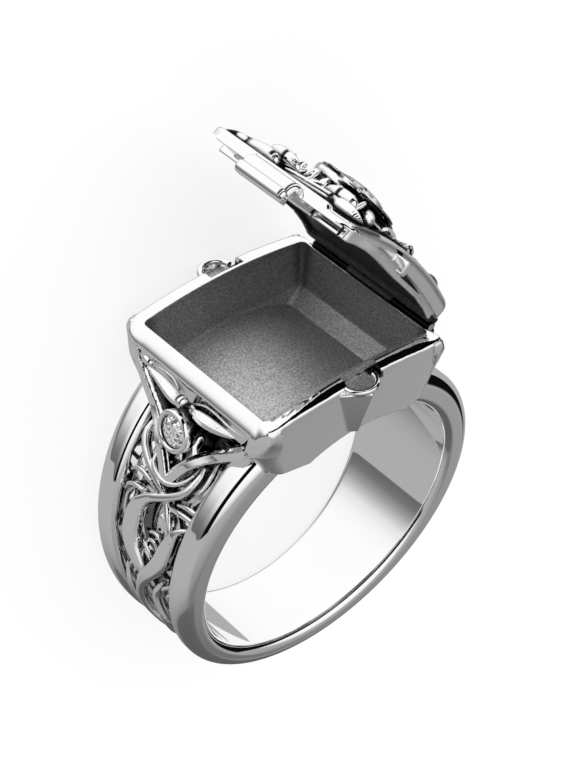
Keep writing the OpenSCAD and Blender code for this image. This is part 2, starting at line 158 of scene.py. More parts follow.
# ------------------------------------------------------------------ mesher
def sdf_mesh(f, lo, hi, h, crease=True, block=7):
    """A dual mesh of the surface f = 0, with its corners pulled onto creases,
    and one exact normal for every face corner."""
    lo = np.array(lo, float)
    nb = np.ceil((np.array(hi, float) - lo) / (h * block)).astype(int)
    N = nb * block
    F = np.ones(N, np.float32)
    bi = np.stack(np.meshgrid(*[np.arange(k) for k in nb], indexing="ij"), -1).reshape(-1, 3)
    c = lo + h * (bi * block + (block - 1) / 2)
    d = f(c)
    reach = h * (block - 1) / 2 * 1.7321 * 1.25 + 2.2 * h
    o = np.arange(block)
    loc = np.stack(np.meshgrid(o, o, o, indexing="ij"), -1).reshape(-1, 3)
    inside = bi[d < -reach]
    for b in inside:
        s = b * block
        F[s[0]:s[0] + block, s[1]:s[1] + block, s[2]:s[2] + block] = -1
    near = bi[np.abs(d) <= reach]
    step = max(1, 260000 // block ** 3)
    for i in range(0, len(near), step):
        part = near[i:i + step]
        idx = (part[:, None, :] * block + loc[None]).reshape(-1, 3)
        F[idx[:, 0], idx[:, 1], idx[:, 2]] = f(lo + h * idx)
    S = F < 0

    def grad(p, e=0.004):
        k = np.array([[1, -1, -1], [-1, -1, 1], [-1, 1, -1], [1, 1, 1]], float)
        g = np.zeros_like(p)
        for kk in k:
            g += kk * f(p + kk * e)[:, None]
        n = np.linalg.norm(g, axis=1, keepdims=True)
        return g / np.maximum(n, 1e-12)

    cells, pts, quads = [], [], []
    NX, NY, NZ = N

    def cid(i, j, k):
        return (i * NY + j) * NZ + k

    for ax in range(3):
        a = [slice(None)] * 3; b = [slice(None)] * 3
        a[ax] = slice(0, N[ax] - 1); b[ax] = slice(1, N[ax])
        cr = S[tuple(a)] != S[tuple(b)]
        ijk = np.argwhere(cr)
        u, v = (ax + 1) % 3, (ax + 2) % 3
        ok = (ijk[:, u] > 0) & (ijk[:, v] > 0) & (ijk[:, u] < N[u] - 1) & (ijk[:, v] < N[v] - 1)
        ijk = ijk[ok]
        nxt = ijk.copy(); nxt[:, ax] += 1
        f0 = F[ijk[:, 0], ijk[:, 1], ijk[:, 2]].astype(float)
        f1 = F[nxt[:, 0], nxt[:, 1], nxt[:, 2]].astype(float)
        t0 = np.zeros(len(f0)); t1 = np.ones(len(f0))
        t = f0 / (f0 - f1)
        e = np.zeros(3); e[ax] = 1
        base = lo + h * ijk
        for _ in range(2):
            fm = f(base + h * t[:, None] * e)
            same = np.sign(fm) == np.sign(f0)
            t0 = np.where(same, t, t0); f0 = np.where(same, fm, f0)
            t1 = np.where(same, t1, t); f1 = np.where(same, f1, fm)
            t = np.clip(t0 + (t1 - t0) * f0 / np.where(np.abs(f0 - f1) < 1e-12, 1e-12, f0 - f1), t0, t1)
        p = base + h * t[:, None] * e
        four = []
        for du, dv in ((-1, -1), (0, -1), (0, 0), (-1, 0)):
            c3 = ijk.copy(); c3[:, u] += du; c3[:, v] += dv
            four.append(cid(c3[:, 0], c3[:, 1], c3[:, 2]))
        four = np.stack(four, 1)
        flip = ~S[ijk[:, 0], ijk[:, 1], ijk[:, 2]]
        q = four.copy()
        q[flip] = q[flip][:, ::-1]
        quads.append(q)
        cells.append(four)
        pts.append(p)
    cells = np.concatenate(cells); pts = np.concatenate(pts); quads = np.concatenate(quads)
    nrm = grad(pts)
    uniq, inv = np.unique(cells.reshape(-1), return_inverse=True)
    inv = inv.reshape(-1)
    V = len(uniq)
    pe = np.repeat(pts, 4, axis=0); ne = np.repeat(nrm, 4, axis=0)
    cnt = np.bincount(inv, minlength=V).astype(float)
    mean = np.stack([np.bincount(inv, pe[:, k], V) for k in range(3)], 1) / cnt[:, None]
    x = mean.copy()
    if crease:
        r = np.einsum("ij,ij->i", ne, pe - mean[inv])
        A = np.zeros((V, 3, 3)); bb = np.zeros((V, 3))
        for a in range(3):
            bb[:, a] = np.bincount(inv, ne[:, a] * r, V)
            for b in range(a, 3):
                A[:, a, b] = A[:, b, a] = np.bincount(inv, ne[:, a] * ne[:, b], V)
        A += np.eye(3) * (0.03 * cnt)[:, None, None]
        x = mean + np.linalg.solve(A, bb[:, :, None])[:, :, 0]
    ci = np.stack([uniq // (NY * NZ), (uniq // NZ) % NY, uniq % NZ], 1)
    clo = lo + h * ci
    x = np.clip(x, clo - 0.15 * h, clo + 1.15 * h)
    # smooth places: settle on the surface itself
    for _ in range(2):
        g = grad(x)
        fx = f(x)
        x = x - np.clip(fx, -0.3 * h, 0.3 * h)[:, None] * g * 0.9
    faces = inv[: len(cells) * 4]
    lookup = np.searchsorted(uniq, quads.reshape(-1)).reshape(-1, 4)
    cen = x[lookup].mean(1)
    corner = x[lookup] * 0.72 + cen[:, None, :] * 0.28
    ln = grad(corner.reshape(-1, 3))
    return x, lookup, ln


# ------------------------------------------------------------------ Blender objects
def add_mesh(name, verts, faces, loop_normals=None, move=None, turn=None, attrs=None):
    """verts and normals are in the ring frame; turn opens the lid."""
    v = np.asarray(verts, float)
    n = None if loop_normals is None else np.asarray(loop_normals, float)
    if turn == "lid":
        v = opened(v)
        n = None if n is None else opened_dir(n)
    v = lay(v)
    n = None if n is None else lay_dir(n)
    me = bpy.data.meshes.new(name)
    faces = np.asarray(faces)
    me.vertices.add(len(v))
    me.vertices.foreach_set("co", v.astype(np.float32).ravel())
    k = faces.shape[1]
    me.loops.add(faces.size)
    me.loops.foreach_set("vertex_index", faces.astype(np.int32).ravel())
    me.polygons.add(len(faces))
    me.polygons.foreach_set("loop_start", np.arange(0, faces.size, k, dtype=np.int32))
    me.polygons.foreach_set("loop_total", np.full(len(faces), k, np.int32))
    me.update(calc_edges=True)
    me.polygons.foreach_set("use_smooth", np.ones(len(faces), bool))
    for key, val in (attrs or {}).items():
        a = me.attributes.new(key, "FLOAT", "POINT")
        a.data.foreach_set("value", np.asarray(val, np.float32))
    if n is not None:
        n = n / np.maximum(np.linalg.norm(n, axis=1, keepdims=True), 1e-9)
        me.normals_split_custom_set([tuple(a) for a in n])
    ob = bpy.data.objects.new(name, me)
    bpy.context.scene.collection.objects.link(ob)
    return ob


def grid_faces(m, n, wrap_u=False, wrap_v=False):
    a = np.arange(m if wrap_u else m - 1); b = np.arange(n if wrap_v else n - 1)
    i, j = np.meshgrid(a, b, indexing="ij")
    i2, j2 = (i + 1) % m, (j + 1) % n
    return np.stack([i * n + j, i2 * n + j, i2 * n + j2, i * n + j2], -1).reshape(-1, 4)


def grid_normals(P, wrap_u, wrap_v, flip=False):
    def diff(A, ax, wrap):
        if wrap:
            return np.roll(A, -1, ax) - np.roll(A, 1, ax)
        return np.gradient(A, axis=ax)
    n = np.cross(diff(P, 0, wrap_u), diff(P, 1, wrap_v))
    if flip:
        n = -n
    return n / np.maximum(np.linalg.norm(n, axis=-1, keepdims=True), 1e-12)


def mirror_x(verts, faces, ln):
    v = verts * np.array([-1, 1, 1.0])
    k = faces.shape[1]
    n = ln.reshape(-1, k, 3)[:, ::-1] * np.array([-1, 1, 1.0])
    return v, faces[:, ::-1], n.reshape(-1, 3)


def drop_small(x, faces, ln):
    return x, faces, ln


# ------------------------------------------------------------------ materials
def new_mat(name):
    m = bpy.data.materials.new(name)
    m.use_nodes = True
    nt = m.node_tree
    for n in list(nt.nodes):
        nt.nodes.remove(n)
    return m, nt


def N(nt, kind, **kw):
    n = nt.nodes.new(kind)
    for k, v in kw.items():
        if k.startswith("in_"):
            n.inputs[k[3:].replace("_", " ")].default_value = v
        else:
            setattr(n, k, v)
    return n


def silver(name, tone=0.93, rough=0.045, var=0.02, bump=0.02, dark=0.0, attr=None, scale=900.0, grain=(0.16, 0.52), blast_tone_and_shade=None, painted_shade=None, matte=None):
    """Polished silver. dark darkens recesses found by ambient occlusion toward near black, tarnish together with
    painted shade; attr is a vertex mask, over 0 where the metal is blasted; tint names an attribute that scales the
    blasted tone, painted light and shade; dirt names an attribute of painted shade and painted dark reflections, mixed
    toward near black."""
    m, nt = new_mat(name)
    L = nt.links
    out = N(nt, "ShaderNodeOutputMaterial")
    bs = N(nt, "ShaderNodeBsdfPrincipled")
    bs.inputs["Metallic"].default_value = 1.0
    L.new(bs.outputs[0], out.inputs[0])
    tc = N(nt, "ShaderNodeTexCoord")
    n1 = N(nt, "ShaderNodeTexNoise"); n1.inputs["Scale"].default_value = 420.0
    n1.inputs["Detail"].default_value = 3.0
    L.new(tc.outputs["Object"], n1.inputs["Vector"])
    col = N(nt, "ShaderNodeMix", data_type="RGBA")
    col.inputs["A"].default_value = (tone - 0.012, tone - 0.008, tone - 0.004, 1)
    col.inputs["B"].default_value = (tone + 0.012, tone + 0.014, tone + 0.018, 1)
    L.new(n1.outputs["Fac"], col.inputs["Factor"])
    last = col.outputs["Result"]
    # ambient occlusion darkens recesses toward near black: tarnish together with painted shade
    if dark > 0:
        ao = N(nt, "ShaderNodeAmbientOcclusion", samples=4)
        ao.inputs["Distance"].default_value = 0.0009
        rmp = N(nt, "ShaderNodeMapRange")
        rmp.inputs["From Min"].default_value = 0.22
        rmp.inputs["From Max"].default_value = 0.74
        rmp.inputs["To Min"].default_value = dark
        rmp.inputs["To Max"].default_value = 0.0
        L.new(ao.outputs["AO"], rmp.inputs["Value"])
        dk = N(nt, "ShaderNodeMix", data_type="RGBA")
        dk.inputs["B"].default_value = (0.03, 0.03, 0.032, 1)
        L.new(rmp.outputs[0], dk.inputs["Factor"])
        L.new(last, dk.inputs["A"])
        last = dk.outputs["Result"]
    # an attribute mixes painted shade and painted dark reflections toward near black
    if painted_shade:
        da = N(nt, "ShaderNodeAttribute", attribute_name=painted_shade)
        dm = N(nt, "ShaderNodeMix", data_type="RGBA")
        dm.inputs["B"].default_value = (0.006, 0.006, 0.007, 1)
        L.new(da.outputs["Fac"], dm.inputs["Factor"]); L.new(last, dm.inputs["A"])
        last = dm.outputs["Result"]
    rg = N(nt, "ShaderNodeMapRange")
    rg.inputs["To Min"].default_value = rough - var / 2
    rg.inputs["To Max"].default_value = rough + var / 2
    L.new(n1.outputs["Fac"], rg.inputs["Value"])
    rlast = rg.outputs[0]
    if matte:
        ma = N(nt, "ShaderNodeAttribute", attribute_name=matte)
        mr = N(nt, "ShaderNodeMix", data_type="FLOAT")
        L.new(ma.outputs["Fac"], mr.inputs["Factor"]); L.new(rlast, mr.inputs["A"])
        mr.inputs["B"].default_value = 0.38
        rlast = mr.outputs["Result"]
    bp = N(nt, "ShaderNodeBump")
    bp.inputs["Strength"].default_value = bump
    bp.inputs["Distance"].default_value = 0.00002
    n2 = N(nt, "ShaderNodeTexNoise"); n2.inputs["Scale"].default_value = scale
    L.new(tc.outputs["Object"], n2.inputs["Vector"])
    L.new(n2.outputs["Fac"], bp.inputs["Height"])
    nlast = bp.outputs[0]
    if attr:
        at = N(nt, "ShaderNodeAttribute", attribute_name=attr)
        mk = N(nt, "ShaderNodeMapRange")
        mk.inputs["From Min"].default_value = -0.012
        mk.inputs["From Max"].default_value = 0.012
        L.new(at.outputs["Fac"], mk.inputs["Value"])
        g = N(nt, "ShaderNodeTexNoise"); g.inputs["Scale"].default_value = 8600.0
        g.inputs["Detail"].default_value = 2.0; g.inputs["Roughness"].default_value = 0.7
        L.new(tc.outputs["Object"], g.inputs["Vector"])
        gc = N(nt, "ShaderNodeValToRGB")
        gc.color_ramp.elements[0].position = 0.32; gc.color_ramp.elements[0].color = (grain[0],) * 3 + (1,)
        gc.color_ramp.elements[1].position = 0.68; gc.color_ramp.elements[1].color = (grain[1],) * 3 + (1,)
        L.new(g.outputs["Fac"], gc.inputs["Fac"])
        cm = N(nt, "ShaderNodeMix", data_type="RGBA")
        L.new(mk.outputs[0], cm.inputs["Factor"])
        L.new(last, cm.inputs["A"])
        # an attribute scales the blasted tone: painted light and shade
        if blast_tone_and_shade:
            ta = N(nt, "ShaderNodeAttribute", attribute_name=blast_tone_and_shade)
            tm = N(nt, "ShaderNodeVectorMath", operation="SCALE")
            L.new(gc.outputs["Color"], tm.inputs[0]); L.new(ta.outputs["Fac"], tm.inputs["Scale"])
            L.new(tm.outputs[0], cm.inputs["B"])
        else:
            L.new(gc.outputs["Color"], cm.inputs["B"])
        last = cm.outputs["Result"]
        rm = N(nt, "ShaderNodeMix", data_type="FLOAT")
        L.new(mk.outputs[0], rm.inputs["Factor"]); L.new(rlast, rm.inputs["A"])
        rm.inputs["B"].default_value = 0.62
        rlast = rm.outputs["Result"]
        bp2 = N(nt, "ShaderNodeBump")
        bp2.inputs["Distance"].default_value = 0.00006
        L.new(g.outputs["Fac"], bp2.inputs["Height"])
        bs2 = N(nt, "ShaderNodeMath", operation="MULTIPLY")
        L.new(mk.outputs[0], bs2.inputs[0]); bs2.inputs[1].default_value = 0.22
        L.new(bs2.outputs[0], bp2.inputs["Strength"])
        L.new(nlast, bp2.inputs["Normal"])
        nlast = bp2.outputs[0]
    L.new(last, bs.inputs["Base Color"])
    L.new(rlast, bs.inputs["Roughness"])
    L.new(nlast, bs.inputs["Normal"])
    return m


# ------------------------------------------------------------------ sizes
HOLE_R = 9.9
BAND_R, BAND_UP = 11.85, 0.4
HW0, GROW = 4.55, 0.13
RAIL = 1.9
SLEEVE = 10.7
ARCH_R = 34.4
ARCH_Z = 14.25 - ARCH_R


def arc(cx, cy, r, a0, a1, n):
    a = np.radians(np.linspace(a0, a1, n))
    return [(cx + r * math.cos(t), cy + r * math.sin(t)) for t in a]


# ------------------------------------------------------------------ shank
def make_shank():
    M = 420
    th = np.linspace(0, 2 * np.pi, M, endpoint=False)   # from +Z toward +X
    rows = []
    ri, ro, rc, rf = 0.50, 0.95, 0.60, 0.16

    def side(t):
        """Half section at angle t as points (r, fraction data) for y >= 0."""
        s, c = math.sin(t), math.cos(t)
        R = BAND_UP * c + math.sqrt(BAND_R ** 2 - (BAND_UP * s) ** 2)
        # under the case the rails end in its walls
        ax = abs(math.degrees(math.atan2(s, c)))
        k = min(max((ax - 29.8) / 2.6, 0), 1)
        low = 10.3
        R = low + (R - low) * k
        # the channel runs out near the bottom
        z = R * c
        ch = min(max((z + 9.3) / 1.3, 0), 1)
        ch = ch * ch * (3 - 2 * ch)
        floor = R - max(R - SLEEVE, 0.004) * ch
        hw = lambda r: HW0 + GROW * r * c
        P = []
        k2 = (HW0 + GROW * HOLE_R * c)
        # inner surface, middle to edge
        for f in np.linspace(0, 1, 9)[:-1]:
            P.append((HOLE_R, f * (hw(HOLE_R) - ri)))
        for (u, v) in arc(HOLE_R + ri, hw(HOLE_R + ri) - ri, ri, 180, 90, 8):
            P.append((u, v))
        r1, r2 = HOLE_R + min(ri, (R - HOLE_R) * 0.3), R - min(ro, (R - HOLE_R) * 0.45)
        e = R - r2
        for f in np.linspace(0, 1, 7)[1:-1]:
            r = r1 + (r2 - r1) * f
            P.append((r, hw(r)))
        for (u, v) in arc(r2, hw(r2) - e, e, 90, 0, 20):
            P.append((u, v))
        yin = 2.68 + 0.08 * R * c
        yin = min(yin, hw(R) - e - min(rc, (R - floor) * 0.5) - 0.05)
        ytop = hw(r2) - e
        for f in np.linspace(0, 1, 7)[1:-1]:
            P.append((R, ytop + (yin + rc - ytop) * f))
        dep = R - floor
        q = min(rc, dep * 0.55)
        for (u, v) in arc(R - q, yin + q, q, 0, -90, 12):
            P.append((u, v))
        # arc goes from the top surface to the channel wall
        q2 = min(rf, dep * 0.4)
        for f in np.linspace(0, 1, 4)[1:-1]:
            P.append((R - q + (floor + q2 - (R - q)) * f, yin))
        for (u, v) in arc(floor + q2, yin - q2, q2, 90, 180, 5):
            P.append((u, v))
        for f in np.linspace(0, 1, 8)[1:]:
            P.append((floor, (yin - q2) * (1 - f)))
        return P

    for t in th:
        half = side(t)
        full = half + [(r, -y) for r, y in half[-2:0:-1]]
        rows.append([(r * math.sin(t), y, r * math.cos(t)) for r, y in full])
    P = np.array(rows)
    m, n = P.shape[:2]
    F = grid_faces(m, n, True, True)
    nr = grid_normals(P, True, True)
    c = P.reshape(-1, 3)
    # outward test on the outer surface
    if np.sum(nr[0, n // 2 - 3] * P[0, n // 2 - 3]) < 0:
        F = F[:, ::-1]; nr = -nr
    fn = nr.reshape(-1, 3)[F.ravel()]
    return c, F, fn


# ------------------------------------------------------------------ case
V_PTS = [(-6.3, -0.95), (-5.95, -0.45), (-5.5, 0.08), (-4.9, 0.78), (-4.4, 1.20), (-3.72, 1.73), (-3.07, 2.20),
         (-2.5, 2.62), (-1.97, 3.06), (-1.5, 3.54), (-0.93, 4.25), (-0.45, 4.93), (-0.16, 5.42)]
V_LINE = np.array([(a, b) for a, b in V_PTS] + [(0.0, 5.56)] + [(-a, b) for a, b in V_PTS[::-1]])
V_LINE = catmull(V_LINE, 3)
V_DOWN = np.array([-0.3495, 0, -0.937])
V_OUT = np.array([-0.937, 0, 0.3495])


def v_bow(s):
    k = np.clip((4.3 - s) / 1.9, 0, 1)
    return 0.5 * k * k * (3 - 2 * k)


def v_frame(x, y, z, sx):
    """The V-shaped frame of side sx, drawn for the -X side: a flat bar and a
    bevel inside it. The upper half leans back to the case."""
    X = x * sx
    s = (X + 7.5) * V_DOWN[0] + (z - 12.3) * V_DOWN[2]
    n = (X + 7.5) * V_OUT[0] + (z - 12.3) * V_OUT[2] + v_bow(s)
    d, sg, _ = near_line(y, s, V_LINE)
    t = -d * sg            # positive between the legs
    qx = np.abs(t + 0.29) - 0.19; qy = np.abs(n + 0.46) - 0.36
    outer = np.hypot(np.maximum(qx, 0), np.maximum(qy, 0)) + np.minimum(np.maximum(qx, qy), 0) - 0.10
    top = (n + 0.09 + 0.58 * t) * 0.865
    side = np.maximum(np.abs(t - 0.09) - 0.13, -(n + 1.2))
    inner = rmax(side, top, 0.05)
    return np.minimum(outer, inner) * 0.92


def half_spaces(P, planes):
    d = np.full(len(P), -1e9)
    for n, o in planes:
        d = np.maximum(d, P @ n - o)
    return d


def bracket_planes():
    A, Cc, T, B = (-1.62, -6.3, 13.65), (1.78, -6.3, 13.65), (0.08, -8.03, 13.65), (-0.3, -7.2, 10.45)
    A2, C2 = (-1.62, -6.85, 13.65), (1.78, -6.85, 13.65)
    mid = (0.1, -7.1, 12.9)
    return [plane3(A2, C2, T, mid), plane3(A2, T, B, mid), plane3(C2, T, B, mid),
            plane3((-1, -6.3, 13.65), (1, -6.3, 13.65), (0.3, -6.2, 9.3), mid)]


BRACKET = bracket_planes()


def cavity(x, y, z):
    hx = np.minimum(6.35 - np.maximum(13.3 - z, 0) * 0.1667, 5.95 - (10.6 - z) * 1.0)
    hy = 5.85 - np.maximum(13.3 - z, 0) * 0.111
    rr = rrect(x, y, hx, hy, 0.30)
    return np.maximum(rr * 0.97, SLEEVE + 0.0 - np.hypot(x, z))


def smooth(v, a, b):
    k = np.clip((v - a) / (b - a), 0, 1)
    return k * k * (3 - 2 * k)


def case_sdf(P):
    x, y, z = P[:, 0], P[:, 1], P[:, 2]
    ax, ky = np.abs(x), np.abs(y)
    zz = z - 8.05
    k = np.clip(zz / 4.55, 0, 1)
    hx = np.minimum(5.6 + np.where(x > 0, 0.4066, 0.50) * zz, np.where(x > 0, 7.15, 7.42))
    hy = np.where(y > 0, 7.0, 6.85) - 0.02 * np.maximum(13.3 - z, 0)
    r = np.where(x > 0, 1.75 - 0.5 * k, np.where(y > 0, 1.85 - 0.45 * smooth(z, 12.4, 13.2), 0.5 + 0.9 * k))
    body = rrect(x, y, hx, hy, r) * 0.9
    rad = np.hypot(x, z - ARCH_Z) - ARCH_R
    wn = smooth((-y - 6.85) - (ax - 7.42), -0.7, 0.5)     # the near wall
    d = rmax(body, rad, 0.95 - 0.5 * smooth(y, 4.8, 6.4) - 0.80 * wn)
    bev = (-y - 6.85) * 0.5 + rad * 0.866 + 0.29 - 0.15 * smooth(-x, 2.0, 6.0) - 0.12 * smooth(x, 5.0, 6.4)
    d = np.where(wn > 0, rmax(d, bev - 1.2 * (1 - wn), 0.10), d)
    # the side walls stand over the band and end above its edge
    under = np.maximum(np.minimum(9.55 + 0.19 * (ax - 4.6), 12.0) - z, 10.08 - np.hypot(x, z))
    d = np.where(ky > 5.3, rmax(d, under - 3.0 * np.maximum(5.9 - ky, 0), 0.16), d)
    rec = np.maximum(np.maximum(6.98 - ax, z - 12.72), ky - 5.35 + 0.2 * (12.4 - z))
    d = rmax(d, -rec, 0.20)
    ra = np.hypot(x, z)
    d = rmax(d, HOLE_R + 0.02 - ra, 0.2)
    d = np.maximum(d, 7.9 - z)
    # shoulder frames
    m = (ax > 6.0) & (z < 13.5) & (z > 5.5)
    if m.any():
        v = np.full(len(x), 1e3)
        v[m] = v_frame(-ax[m], y[m], z[m], 1)
        far = np.maximum(0.05, np.maximum(np.maximum(6.0 - ax, z - 13.5), 5.5 - z))
        v = np.where(m, v, far + 0.2)
        kk = 0.16 + 0.55 * smooth(ky, 4.3, 5.6)
        d = np.where(m, smin(d, v, kk), d)
    # brackets under the half rings
    b = half_spaces(np.stack([x, -ky, z], 1), BRACKET)
    d = smin(d, np.maximum(b + 0.02, 10.35 - z), 0.04)
    ex_ = np.clip(((x + 1.5) * 1.52 - (-ky + 6.86) * 1.06) / 3.434, 0, 1)
    ledge = np.sqrt((x + 1.5 - 1.52 * ex_) ** 2 + (-ky + 6.86 + 1.06 * ex_) ** 2 + (z - 13.57) ** 2) - 0.10
    d = np.minimum(d, ledge)
    # trough for the hinge, its knuckles
    d = rmax(d, -box(x - 7.30, y, z - 13.80, 0.74, 5.50, 0.80), 0.03)
    kn = np.hypot(x - HINGE[0], z - HINGE[2])
    barrel = rmax(kn - 0.36, np.maximum(ky - 5.4, 2.08 - ky), 0.04)
    barrel = np.minimum(barrel, np.maximum(np.maximum(np.abs(x - 7.0) - 0.2, z - 13.4), np.maximum(np.maximum(ky - 5.5, 2.08 - ky), 12.9 - z)))
    d = np.minimum(d, barrel)
    # hollow
    d = rmax(d, -cavity(x, y, z), 0.05)
    # notches in the rim, room for the middle knuckle
    nt = box(x - 0.4, ky - 6.7, z - 14.6, 1.3, 0.62, 1.15, 0.05)
    d = np.maximum(d, -nt)
    d = np.maximum(d, -np.maximum(np.maximum(kn - 0.43, ky - 2.08), 6.60 - x))
    d = np.maximum(d, 0.26 - kn)
    # half rings
    ring = np.hypot(np.hypot(x - 0.05, ky - 6.75) - 1.05, z - 13.84) - 0.19
    ring = np.maximum(ring, 6.8 - ky)
    d = smin(d, ring, 0.06)
    return d


# ------------------------------------------------------------------ filigree
VINES = [
    # angle, y, r of the middle, half width, half height
    [(44.5, -2.15, 11.40, .16, .30), (47, -2.25, 11.45, .19, .34), (51, -2.15, 11.55, .22, .38), (54.5, -1.8, 11.6, .24, .38),
     (57.2, -1.2, 11.62, .25, .38), (59.5, -0.5, 11.62, .27, .38), (61.6, 0.2, 11.62, .30, .38), (64, 0.75, 11.6, .40, .38),
     (67, 1.15, 11.58, .55, .40), (70.5, 1.3, 11.55, .66, .42), (74.5, 1.28, 11.55, .68, .42), (78.5, 1.0, 11.55, .64, .42),
     (82, 0.55, 11.5, .58, .42), (85, 0.05, 11.45, .50, .40), (88, -0.45, 11.3, .36, .32), (90, -0.8, 11.2, .25, .25)],
    [(62.6, -3.35, 11.45, .10, .20), (64, -2.85, 11.55, .16, .30), (66.2, -2.5, 11.6, .28, .36), (69, -2.3, 11.6, .42, .40),
     (72.5, -2.08, 11.6, .54, .42), (76, -1.85, 11.6, .58, .42), (79.5, -1.5, 11.6, .56, .42), (83.2, -1.0, 11.6, .50, .40),
     (87, -0.45, 11.58, .44, .38), (91, 0.0, 11.55, .38, .36), (95.5, 0.35, 11.5, .34, .34), (101, 0.65, 11.45, .32, .32),
     (108, 0.6, 11.4, .30, .30), (117, 0.1, 11.3, .26, .26), (126, -0.3, 11.15, .20, .22)],
    [(41, 2.9, 11.30, .14, .24), (43.5, 3.1, 11.4, .20, .30), (47, 3.05, 11.48, .24, .32), (50.3, 2.6, 11.5, .27, .34),
     (53, 1.9, 11.5, .28, .34), (55.4, 1.1, 11.46, .28, .32), (57.4, 0.3, 11.36, .27, .30), (59.5, -0.3, 11.22, .26, .28),
     (62, -0.8, 11.2, .26, .30), (64.5, -1.25, 11.3, .27, .32), (67.5, -1.65, 11.35, .28, .32), (70.5, -1.95, 11.35, .26, .30)],
    [(60, 3.0, 11.2, .10, .20), (58, 2.5, 11.35, .15, .26), (57.5, 1.9, 11.4, .17, .28), (58.2, 1.2, 11.35, .17, .28),
     (59.5, 0.6, 11.2, .16, .26), (61.5, 0.1, 11.1, .14, .22)],
    [(48, 1.35, 11.25, .08, .20), (50.5, 1.52, 11.4, .14, .28), (53, 1.3, 11.5, .15, .30), (54.8, 0.7, 11.5, .15, .30),
     (55.4, 0.0, 11.5, .15, .30), (54.6, -0.6, 11.5, .15, .30), (52.8, -1.15, 11.45, .15, .30), (50.3, -1.55, 11.4, .14, .30),
     (47.5, -1.75, 11.35, .13, .28), (45, -1.7, 11.2, .10, .24)],
    [(54.0, 0.4, 11.2, .10, .20), (53.4, -0.3, 11.25, .12, .24), (51.4, -0.85, 11.25, .13, .26), (48.8, -1.2, 11.2, .12, .24),
     (46.0, -1.3, 11.1, .10, .20)],
    [(42, -3.15, 11.25, .16, .26), (45.5, -3.38, 11.35, .18, .30), (49, -3.3, 11.4, .19, .30), (52.5, -3.02, 11.35, .18, .30),
     (55.8, -2.6, 11.2, .14, .24)],
    [(40.5, -2.55, 11.15, .15, .24), (44.5, -2.8, 11.25, .17, .28), (48.5, -2.82, 11.25, .17, .28), (52.5, -2.6, 11.25, .17, .28),
     (56, -2.2, 11.15, .15, .24)],
    [(57.2, -3.6, 11.25, .13, .24), (57, -2.9, 11.38, .16, .28), (57.6, -2.2, 11.35, .16, .28), (58.8, -1.6, 11.2, .14, .24)],
    [(60.1, -3.6, 11.2, .16, .28), (60, -2.8, 11.35, .19, .30), (60.4, -2.0, 11.35, .19, .30), (61.3, -1.3, 11.2, .17, .26),
     (62, -0.7, 11.0, .14, .20)],
    [(64.8, -0.55, 11.0, .08, .16), (66.3, -0.6, 11.1, .28, .20), (68, -0.75, 11.1, .38, .20), (69.5, -0.95, 11.05, .24, .18),
     (70.6, -1.15, 11.0, .08, .15)],
    [(74.4, -1.6, 11.15, .10, .20), (72.4, -1.3, 11.28, .12, .22), (71.4, -0.8, 11.3, .12, .22), (71.8, -0.3, 11.25, .12, .22),
     (73.2, 0.05, 11.1, .10, .20)],
    [(77.2, -1.4, 11.15, .10, .20), (75, -1.1, 11.28, .13, .22), (73.7, -0.7, 11.3, .13, .22), (74.2, -0.25, 11.28, .12, .20),
     (75.6, 0.05, 11.1, .10, .18)],
    [(79.5, -1.25, 11.15, .10, .20), (78.1, -0.8, 11.28, .14, .24), (77, -0.3, 11.3, .14, .24), (76.2, 0.3, 11.15, .12, .20)],
    [(82, -0.9, 11.1, .12, .20), (80.4, -0.4, 11.2, .14, .20), (79.3, 0.2, 11.1, .14, .20)],
    [(63.6, 0.8, 11.1, .10, .20), (62.8, 1.4, 11.3, .15, .26), (62.9, 2.1, 11.32, .15, .26), (64.5, 2.75, 11.25, .14, .24),
     (67, 3.0, 11.1, .10, .20)],
    [(65.6, 2.15, 11.15, .10, .18), (67.4, 2.0, 11.35, .22, .28), (69.2, 1.9, 11.2, .12, .2)],
    [(64.6, 2.3, 11.1, .10, .18), (67, 2.62, 11.15, .12, .22), (71, 2.6, 11.15, .12, .22), (75, 2.4, 11.1, .10, .18)],
    [(80.0, 1.95, 11.1, .12, .20), (81.5, 1.75, 11.2, .14, .22), (83.5, 1.6, 11.1, .10, .18)],
    [(88.3, 0.3, 11.15, .10, .20), (91, 0.52, 11.3, .14, .24), (94, 0.78, 11.25, .12, .22), (97, 1.05, 11.1, .10, .20)],
    [(87.8, 0.75, 11.15, .10, .20), (90.5, 0.95, 11.28, .13, .22), (93.5, 1.2, 11.15, .11, .20)],
    [(86.8, 1.2, 11.15, .10, .20), (89.3, 1.4, 11.25, .13, .22), (92, 1.65, 11.15, .11, .20)],
    [(81.8, -3.1, 11.25, .12, .22), (84, -2.6, 11.38, .16, .26), (86.5, -2.15, 11.38, .15, .26), (89.5, -1.85, 11.25, .13, .22),
     (93, -1.65, 11.1, .10, .20)],
    [(85.5, -3.0, 11.2, .12, .22), (87.5, -2.65, 11.35, .15, .24), (90, -2.3, 11.25, .13, .22), (93, -2.1, 11.1, .1, .2)],
    [(86.5, -1.7, 11.15, .16, .24), (89.5, -1.4, 11.3, .22, .28), (93, -1.15, 11.35, .26, .3), (98, -1.2, 11.38, .28, .30),
     (105, -1.45, 11.38, .28, .30), (113, -1.2, 11.3, .26, .28), (122, -0.6, 11.2, .22, .24), (130, -0.1, 11.05, .16, .2)],
    [(92, 2.0, 11.1, .12, .2), (97, 1.9, 11.25, .22, .28), (104, 1.8, 11.35, .27, .30), (112, 1.4, 11.3, .26, .28),
     (121, 0.8, 11.2, .22, .24), (130, 0.4, 11.05, .16, .2)],
]
VINE_S = 11.4 * math.pi / 180


def vine_tables():
    out = []
    for rows in VINES:
        q = catmull(rows, 4)
        q[:, 0] += 2.4 * np.clip((q[:, 0] - 69) / 8, 0, 1)
        q[:, 0] *= VINE_S
        out.append((q, q[:, :2].min(0) - 1.2, q[:, :2].max(0) + 1.2))
    return out


VT = vine_tables()


